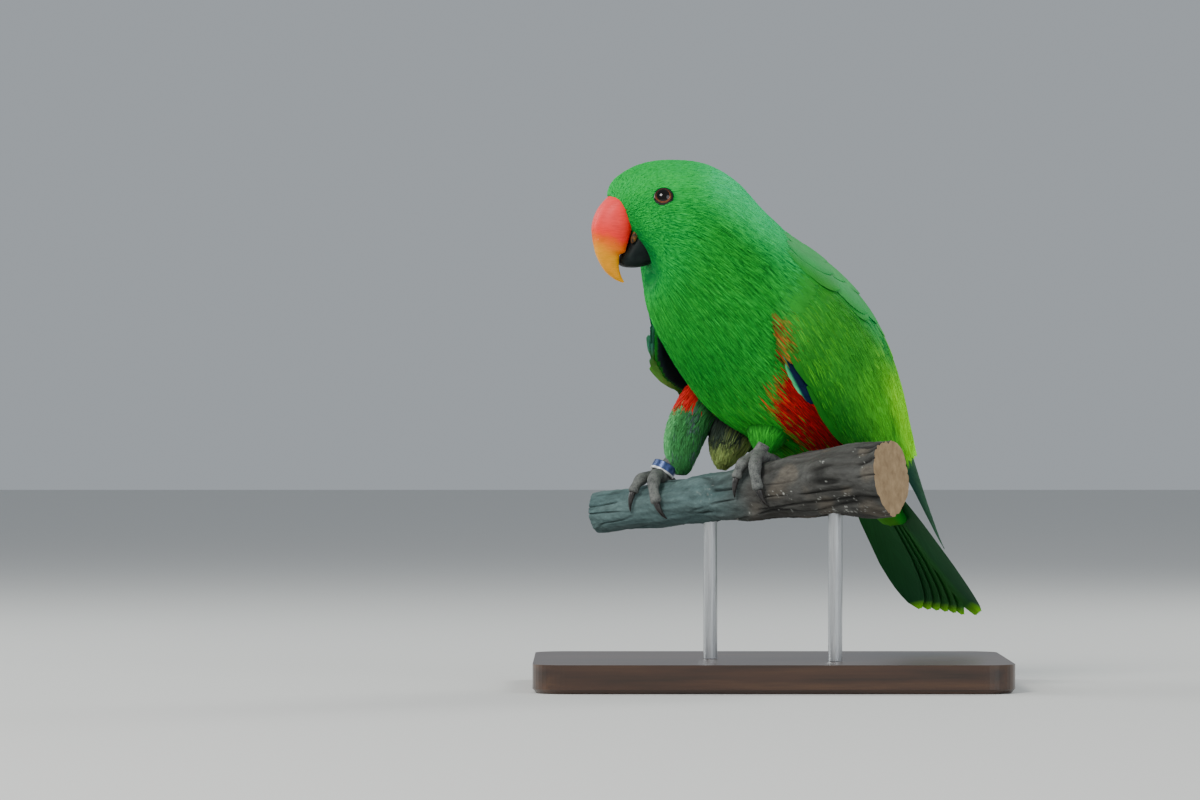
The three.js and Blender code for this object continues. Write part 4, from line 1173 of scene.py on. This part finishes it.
# the bill

CORAL, CORAL_RIDGE, CORAL_DEEP = rgb(1, 0.065, 0.068), rgb(0.86, 0.3, 0.24), rgb(0.95, 0.028, 0.018)
ORANGE, YELLOW, HORN_TIP = rgb(0.88, 0.13, 0.006), rgb(0.88, 0.345, 0), rgb(0.66, 0.37, 0.004)
BLACK, BLACK_WORN = rgb(0.004, 0.008, 0.008), rgb(0.014, 0.021, 0.02)


def bill_rings(table, steps, sides, start=0.0):
    rows = curve(table, np.linspace(start, len(table) - 1, steps))
    ridge, edge, half = rows[:, :2], rows[:, 2:4], rows[:, 4:]
    long = np.linalg.norm(ridge - edge, axis=1, keepdims=True) / 2
    middle = (ridge + edge) / 2
    way = (ridge - edge) / (2 * long)
    turn = np.arange(sides) * 2 * math.pi / sides
    full = np.where(np.cos(turn) < 0, 0.6, 0.9)
    side = np.sign(np.sin(turn)) * np.abs(np.sin(turn)) ** full * half
    along = np.cos(turn) * long
    return head_point(middle[:, :1] + way[:, :1] * along, middle[:, 1:] + way[:, 1:] * along, side)


def bill_colour(p):
    """Coral above, then orange and yellow, in bands that slope down towards the tip."""
    down = p[:, 2] + 0.43 * p[:, 0] + 1.1 * noise(p, 5, 2) + 0.5 * noise(p, 1.6, 3)
    ahead = (p - BILL_AT) @ HEAD_FORWARD
    off_ridge = np.abs((p - BILL_AT) @ HEAD_LEFT)
    colour = mix(CORAL_DEEP, CORAL, step(186, 200, down) * step(-9, 3, ahead))
    colour = mix(colour, ORANGE, step(191, 186, down))
    colour = mix(colour, YELLOW, step(187, 179, down))
    colour = mix(colour, HORN_TIP, step(172, 162, down))
    # paler along the top ridge near the bill's base
    pale_ridge = 0.5 * step(1.1, 0.3, off_ridge) * step(-6, 2, ahead) * step(187, 192, down)
    return mix(colour, CORAL_RIDGE, pale_ridge)


upper = loft("bill_upper_horn", bill_rings(UPPER_BILL, 170, 72))
p = vertices(upper)
paint(upper.data, "tint", bill_colour(p) * (1 + 0.07 * noise(p, 3, 4))[:, None])
coral_horn = horn("horn_coral", 0.42, 0.14, 0.35, (0.85, 0.62, 0.55))
settle(upper, "bill_coral", coral_horn, replaces=("bill_upper",))
lower = loft("bill_lower_horn", bill_rings(LOWER_BILL, 60, 56, 0.55))
paint(lower.data, "tint", mix(BLACK, BLACK_WORN, 0.5 + 0.5 * noise(vertices(lower), 2.5, 6)))
black_horn = horn("horn_black", 0.5, 0.12, 0.2, (0.08, 0.09, 0.09))
settle(lower, "bill_black", black_horn, replaces=("bill_lower",))

# the bare skin at the corners of the mouth
gape_mat = speckled(
    "gape_skin", 600, (0.35, (0.015, 0.012, 0.008)), (0.65, (0.26, 0.1, 0.018)), rough=0.6, shine=0.3,
)
for hand, side_name in SIDES:
    axes = (HEAD_UP * 3.2 - HEAD_FORWARD * 1.2, HEAD_FORWARD * 1.4 + HEAD_UP * 0.5, HEAD_LEFT * 1.3)
    gape = ellipsoid(f"gape_{side_name}", head_point(-10.8, -20.0, 7.3 * hand), axes)
    settle(gape, "feathers", gape_mat)

# the eyes and their lids

# how far from the eye's middle the lids' opening ends, in degrees round the ball
OPEN_EDGE = 44
LID_ROUND, LID_SIDES = 96, 12
LID_UPPER, LID_LOWER = rgb(0.03, 0.016, 0.01), rgb(0.2, 0.055, 0.028)


def eye_finish():
    """Pupil and iris by how far a place lies from the eye's middle, as a share of the opening; the iris is
    painted brighter on one side, as painted light.
    """
    made = Finish("eye", rough=0.05, shine=0.4)
    grain = made.stored("grain", "Vector")
    away, across, upward = made.node("SeparateXYZ", Vector=grain).outputs
    streaks = made.node("TexNoise", Vector=grain, Scale=30.0, Detail=4.0).outputs[0]
    wander = made.maths("MULTIPLY", made.maths("SUBTRACT", streaks, 0.5), 0.03)
    iris = made.ramp(
        made.maths("ADD", away, wander), (0.0, (0.002, 0.0015, 0.001)), (0.69, (0.003, 0.002, 0.0015)),
        (0.73, (0.07, 0.018, 0.005)), (0.82, (0.26, 0.066, 0.01)), (0.89, (0.09, 0.024, 0.006)),
        (0.94, (0.006, 0.005, 0.004)),
    )
    # painted light: the iris brighter on the side where light through the eye falls, darker on the other
    turned = made.maths("MULTIPLY", made.maths("ADD", across, upward), 0.5)
    made.colour(made.blend(1.0, iris, made.ramp(turned, (0.3, 1.7), (0.62, 0.45)), "MULTIPLY"))
    return made


def lid_finish():
    made = Finish("lid", rough=0.6, shine=0.2)
    cells = made.node("TexVoronoi", Vector=made.place(), Scale=2200.0).outputs[0]
    made.colour(made.tinted(made.ramp(cells, (0.0, 1.15), (0.8, 0.6))))
    made.bump(cells, 0.4, 0.0003)
    return made


def lids(hand, name):
    """A wrinkled rim round the eye, flatter above and below."""
    spot, look, across, upward = eye_place(hand)
    b = (np.arange(LID_ROUND) * 2 * math.pi / LID_ROUND)[:, None, None]
    c = (np.arange(LID_SIDES) * 2 * math.pi / LID_SIDES)[None, :, None]
    thick = LID_THICK + 0.07 * np.sin(11 * b + 2 * c) + 0.05 * np.sin(23 * b)
    radial = across * np.cos(b) * LID_WIDE + upward * np.sin(b) * LID_TALL
    rim = spot + radial + unit(radial) * thick * np.cos(c) + look * (0.15 + thick * np.sin(c))
    made = closed_band(name, rim)
    low = step(0.3, -0.6, (rim - spot) @ upward / LID_TALL).reshape(-1)
    paint(made.data, "tint", mix(LID_UPPER, LID_LOWER, low))
    return made


eye_mat, lid_mat = eye_finish(), lid_finish()
for hand, side_name in SIDES:
    spot, look, across, upward = eye_place(hand)
    middle = spot - look * EYE_SUNK
    ball = ellipsoid(f"eye_{side_name}_ball", middle, EYE_RADIUS * np.array([look, across, upward]), 60, 64)
    local = (vertices(ball) - middle) / EYE_RADIUS
    opened = np.arccos(np.clip(local @ look, -1, 1)) / (OPEN_EDGE * RAD)
    paint(ball.data, "grain", vec(opened, (local @ across) / 2 + 0.5, (local @ upward) / 2 + 0.5))
    settle(ball, "eye", eye_mat, replaces=(f"eye_{side_name}",))
    settle(lids(hand, f"lids_{side_name}"), "feathers", lid_mat)

# the nostrils: near-black balls among the feathers over the bill, painted shade for their openings
nostril_shade_mat = speckled("nostril_shade", 900, (0.3, 0.003), (0.7, 0.02), rough=0.8, shine=0.1)
for hand, side_name in SIDES:
    axes = (HEAD_FORWARD * 1.1, HEAD_LEFT * 0.8, HEAD_UP * 0.9)
    nostril_shade = ellipsoid(f"nostril_{side_name}", head_point(-1.6, 1.5, 4.4 * hand), axes, 12, 16)
    settle(nostril_shade, "feathers", nostril_shade_mat)

# the feet

TARSUS = ([0, 0.35, 0.7, 1], [0.92, 0.9, 1, 1.3])
TOE_TIP = 0.93
FOOT_VOXEL, FOOT_PASSES = 0.5, 2


def foot_finish():
    made = Finish("scaly_skin", rough=0.7, shine=0.2)
    cells = made.node("TexVoronoi", Vector=made.place(), feature="DISTANCE_TO_EDGE", Scale=900.0).outputs[0]
    tone = made.ramp(made.grain(300), (0.35, (0.055, 0.06, 0.06)), (0.7, (0.17, 0.18, 0.17)))
    edges = made.maths("MULTIPLY", made.ramp(cells, (0.0, 1), (0.09, 0)), 0.45)
    made.colour(made.blend(edges, tone, (0.26, 0.26, 0.24)))
    made.bump(cells, 0.6, 0.0006)
    return made


def toe_line(foot, toe, reach):
    """Along a toe and its claw, round the branch."""
    along, start_turn, _ = foot
    _, side, out_way, length, spread, radius = toe
    perch_radius = curve(PERCH, np.array(float(along)))[3]
    lift = radius + 0.3
    near = np.maximum(reach - length, 0) / CLAW_LENGTH
    arch = 1.6 * np.sin(np.pi * np.minimum(reach / length, 1))
    turn = start_turn + side * (6 + reach / (perch_radius + lift) / RAD)
    t = along + out_way * (2.2 + spread * reach / (length + CLAW_LENGTH)) / 30
    return perch_point(t, turn, lift + arch * 0.5 - near * near * (radius - CLAW_RADIUS * 0.3))


def tarsus(side_name):
    """The ankle and the sole, as points."""
    t, turn, ankle = FEET[side_name]
    return ankle, perch_point(t, turn, SOLE * 0.8)


foot_mat = foot_finish()
claw_tones = (0.3, (0.006, 0.006, 0.007)), (0.75, (0.05, 0.045, 0.042))
claw_mat = speckled("claw", 500, *claw_tones, detail=3.0, rough=0.35, shine=0.4)
for _, side_name in SIDES:
    foot = FEET[side_name]
    ankle, sole = tarsus(side_name)
    share = np.linspace(0, 1, 24)
    thick = np.interp(share, *TARSUS) * TARSUS_RADIUS
    shank = tube("shank", ankle + (sole - ankle) * share[:, None], thick, 24)
    pieces = [shank, ellipsoid("pad", perch_point(foot[0], foot[1], SOLE * 0.62), SOLE * np.eye(3))]
    for toe in TOES:
        name, length, radius = toe[0], toe[3], toe[5]
        reach = np.linspace(0, length, 60)
        share = reach / length
        swell = 1.12 - 0.28 * share + 0.1 * np.cos(share * 4 * np.pi)
        tip = np.sqrt(np.clip(1 - ((share - TOE_TIP) / 0.09) ** 2, 0.2, 1))
        swell = swell * np.where(share > TOE_TIP, tip, 1) * (0.98 + 0.06 * np.abs(np.sin(reach * 1.9)))
        pieces.append(tube("toe", toe_line(foot, toe, reach), radius * swell, 20))
        reach = np.linspace(length + CLAW_START - 0.6, length + CLAW_LENGTH, 24)
        thin = CLAW_RADIUS * (1 - 0.88 * np.linspace(0, 1, 24) ** 1.2)
        claw = tube(f"claw_{side_name}_{name}_horn", toe_line(foot, toe, reach), thin, 16)
        settle(claw, "claw", claw_mat, replaces=(f"claw_{side_name}_{name}",))
    skin = fused(f"foot_{side_name}_skin", pieces, FOOT_VOXEL, FOOT_PASSES)
    settle(skin, "scaly_skin", foot_mat, replaces=(f"foot_{side_name}",))

# the leg ring

RING_SIDES = 72
ring_tones = (0.35, (0.018, 0.035, 0.12)), (0.7, (0.06, 0.1, 0.24))
ring_mat = speckled("ring", 500, *ring_tones, rough=0.35, metal=0.6)
rim_mat = speckled("ring_rim", 500, (0.3, 0.45), (0.7, 0.75), rough=0.4, metal=0.3)
ankle, sole = tarsus("right")
way = unit(unit(ankle - sole) * (1 - RING_LEAN) + RING_UPRIGHT * RING_LEAN)
across = unit(np.cross(way, [0, 1, 0]))
other = np.cross(way, across)
half = RING_TALL / 2
profile = [
    (RING_INNER, -half + 0.2), (RING_INNER + 0.2, -half), (RING_OUTER - 0.25, -half),
    (RING_OUTER, -half + 0.25), (RING_OUTER, -half + 1.1), (RING_OUTER, half - 0.3),
    (RING_OUTER - 0.25, half), (RING_INNER + 0.2, half), (RING_INNER, half - 0.2),
]
middle = ankle + (sole - ankle) * RING_PLACE
turns = np.arange(RING_SIDES) * 2 * math.pi / RING_SIDES
outward = [across * math.cos(b) + other * math.sin(b) for b in turns]
rings = np.array([[middle + out * r + way * y for r, y in profile] for out in outward])
band = closed_band("leg_ring_band", rings, smooth=False)
settle(band, "ring", ring_mat, rim_mat, replaces=("leg_ring",))
heights = (vertices(band) - middle) @ way
for p in band.data.polygons:
    p.material_index = 1 if heights[list(p.vertices)].mean() < -half + 0.9 else 0

# the stand

ROUND = 200
BARK_GREY, BARK_GREY_LIGHT = rgb(0.046, 0.09, 0.092), rgb(0.125, 0.19, 0.188)
BARK_BROWN, BARK_BROWN_LIGHT = rgb(0.034, 0.032, 0.028), rgb(0.108, 0.11, 0.104)
BARK_PATCH, BARK_FLECK = rgb(0.16, 0.135, 0.105), rgb(0.42, 0.43, 0.4)
bark_mat = Finish("bark", rough=0.85, shine=0.25)
fibres = bark_mat.grain((60, 420, 420), 8.0, 0.72, (0, 0.15, 0.53))
bark_mat.colour(bark_mat.tinted(bark_mat.ramp(fibres, (0.3, 0.6), (0.7, 1.35))))
bark_mat.bump(fibres, 0.7, 0.001)
end_tones = (0.3, (0.26, 0.17, 0.09)), (0.7, (0.42, 0.29, 0.16))
end_mat = speckled("cut_wood", 220, *end_tones, detail=5.0, rough=0.75, shine=0.2)

tt, turns = np.meshgrid(np.linspace(0, PERCH_END, 360), np.arange(ROUND) * 360 / ROUND, indexing="ij")
swell = bark_swell(tt, turns)
plain = perch_point(tt, turns, swell)
along_axis = unit(PERCH[-1, :3] - PERCH[0, :3])
stretch = plain - (plain @ along_axis)[..., None] * along_axis * 0.85
ridges = 0.6 * noise(stretch, 4, 1) + 0.4 * noise(stretch, 1.8, 2)
chips = 0.3 * noise(plain, 1.2, 3) + 0.3 * noise(plain, 3, 4)
crack = np.exp(-((noise(stretch, 5, 5) / 0.09) ** 2)) * step(-0.3, 0.3, noise(plain, 12, 7))
perch = loft("perch_branch", perch_point(tt, turns, swell + 0.75 * ridges + 0.5 * chips - 1.3 * crack - 0.3))
# painted shade: the bark is lighter on its raised ridges and darker in the furrows between them
high, x = 0.5 + 0.5 * ridges, plain[..., 0]
grey, brown = mix(BARK_GREY, BARK_GREY_LIGHT, high), mix(BARK_BROWN, BARK_BROWN_LIGHT, high)
colour = mix(grey, brown, step(-42, -4, x + 9 * noise(plain, 14, 8)))
colour = mix(colour, BARK_PATCH, 0.5 * step(0.15, 0.6, noise(plain, 9, 9)) * step(-30, 10, x))
# painted shade: darker down in the cracks
colour = colour * (1 - 0.75 * crack)[..., None]
fleck = step(0.72, 0.82, 0.75 * noise(plain, 1.0, 10) + 0.45 * noise(plain, 8, 11)) * step(-50, 0, x)
colour = mix(colour, BARK_FLECK, 0.8 * fleck)
# the two ends' middle points take the colour of their rims
paint(perch.data, "tint", np.concatenate([colour.reshape(-1, 3), colour[:1, 0], colour[-1:, 0]]))
settle(perch, "bark", bark_mat, end_mat, replaces=("stand_perch",))
for p in perch.data.polygons[-2 * ROUND:]:
    p.material_index = 1
    p.use_smooth = False

rod_tones = (0.3, (0.5, 0.51, 0.53)), (0.7, (0.7, 0.71, 0.72))
rod_mat = speckled("rod", (1500, 1500, 60), *rod_tones, bump=(0.05, 0.0002), rough=0.28, metal=1.0)
wood = ((0.3, (40, 26, 18)), (0.55, (66, 43, 28)), (0.75, (88, 60, 40)))
base_mat = speckled(
    "base", (9, 170, 170), *((place, tuple(shade(*tone))) for place, tone in wood), detail=7.0, soft=0.62,
    bump=(0.08, 0.0004), rough=0.36, Coat_Weight=0.35, Coat_Roughness=0.2,
)
for name, finish in (("stand_rod_left", rod_mat), ("stand_rod_right", rod_mat), ("stand_base", base_mat)):
    NODES[name].data.materials.clear()
    NODES[name].data.materials.append(finish.material)
for name in ("stand_rod_left", "stand_rod_right"):
    for p in NODES[name].data.polygons:
        p.use_smooth = abs(p.normal.z) < 0.5

# floor, light and camera

# name, place, what it is aimed at, size, power and colour
LIGHTS = [
    ("key", (-0.9, -1.5, 1.5), (0, 0, 0.18), 0.8, 34, (1.0, 0.97, 0.92)),
    ("fill", (1.5, -1.6, 0.8), (0, 0, 0.15), 1.4, 15, (0.92, 0.97, 1.0)),
    ("side", (-1.5, 0.5, 0.8), (-0.05, 0, 0.17), 1.0, 16, (0.96, 1.0, 0.97)),
    ("rim", (0.9, 1.0, 1.1), (0, 0, 0.2), 0.6, 10, (0.97, 1.0, 0.96)),
]
SKY, SKY_LIGHT = (0.86, 0.93, 1.0, 1), 0.42
CAMERA_AT, LENS = (-0.085, -3.2, 0.143), 192

bpy.ops.mesh.primitive_plane_add(size=14, location=(0, 0, -0.0002))
floor = bpy.context.object
floor.name = "floor"
floor.data.materials.append(Finish("floor", tuple(shade(214, 214, 212)), 0.8, shine=0.2).material)

world = bpy.data.worlds.new("world")
bpy.context.scene.world = world
world.use_nodes = True
sky = world.node_tree.nodes["Background"]
sky.inputs[0].default_value, sky.inputs[1].default_value = SKY, SKY_LIGHT
for name, at, target, size, power, colour in LIGHTS:
    light = bpy.data.lights.new(name, "AREA")
    light.shape, light.size, light.energy, light.color = "DISK", size, power, colour
    lamp = placed(name, light)
    lamp.location = at
    lamp.rotation_euler = (Vector(target) - Vector(at)).to_track_quat("-Z", "Y").to_euler()

lens = bpy.data.cameras.new("camera")
lens.sensor_width, lens.lens, lens.clip_start = 36, LENS, 0.1
camera = placed("camera", lens)
camera.location = CAMERA_AT
camera.rotation_euler = (math.pi / 2, 0, 0)
bpy.context.scene.camera = camera
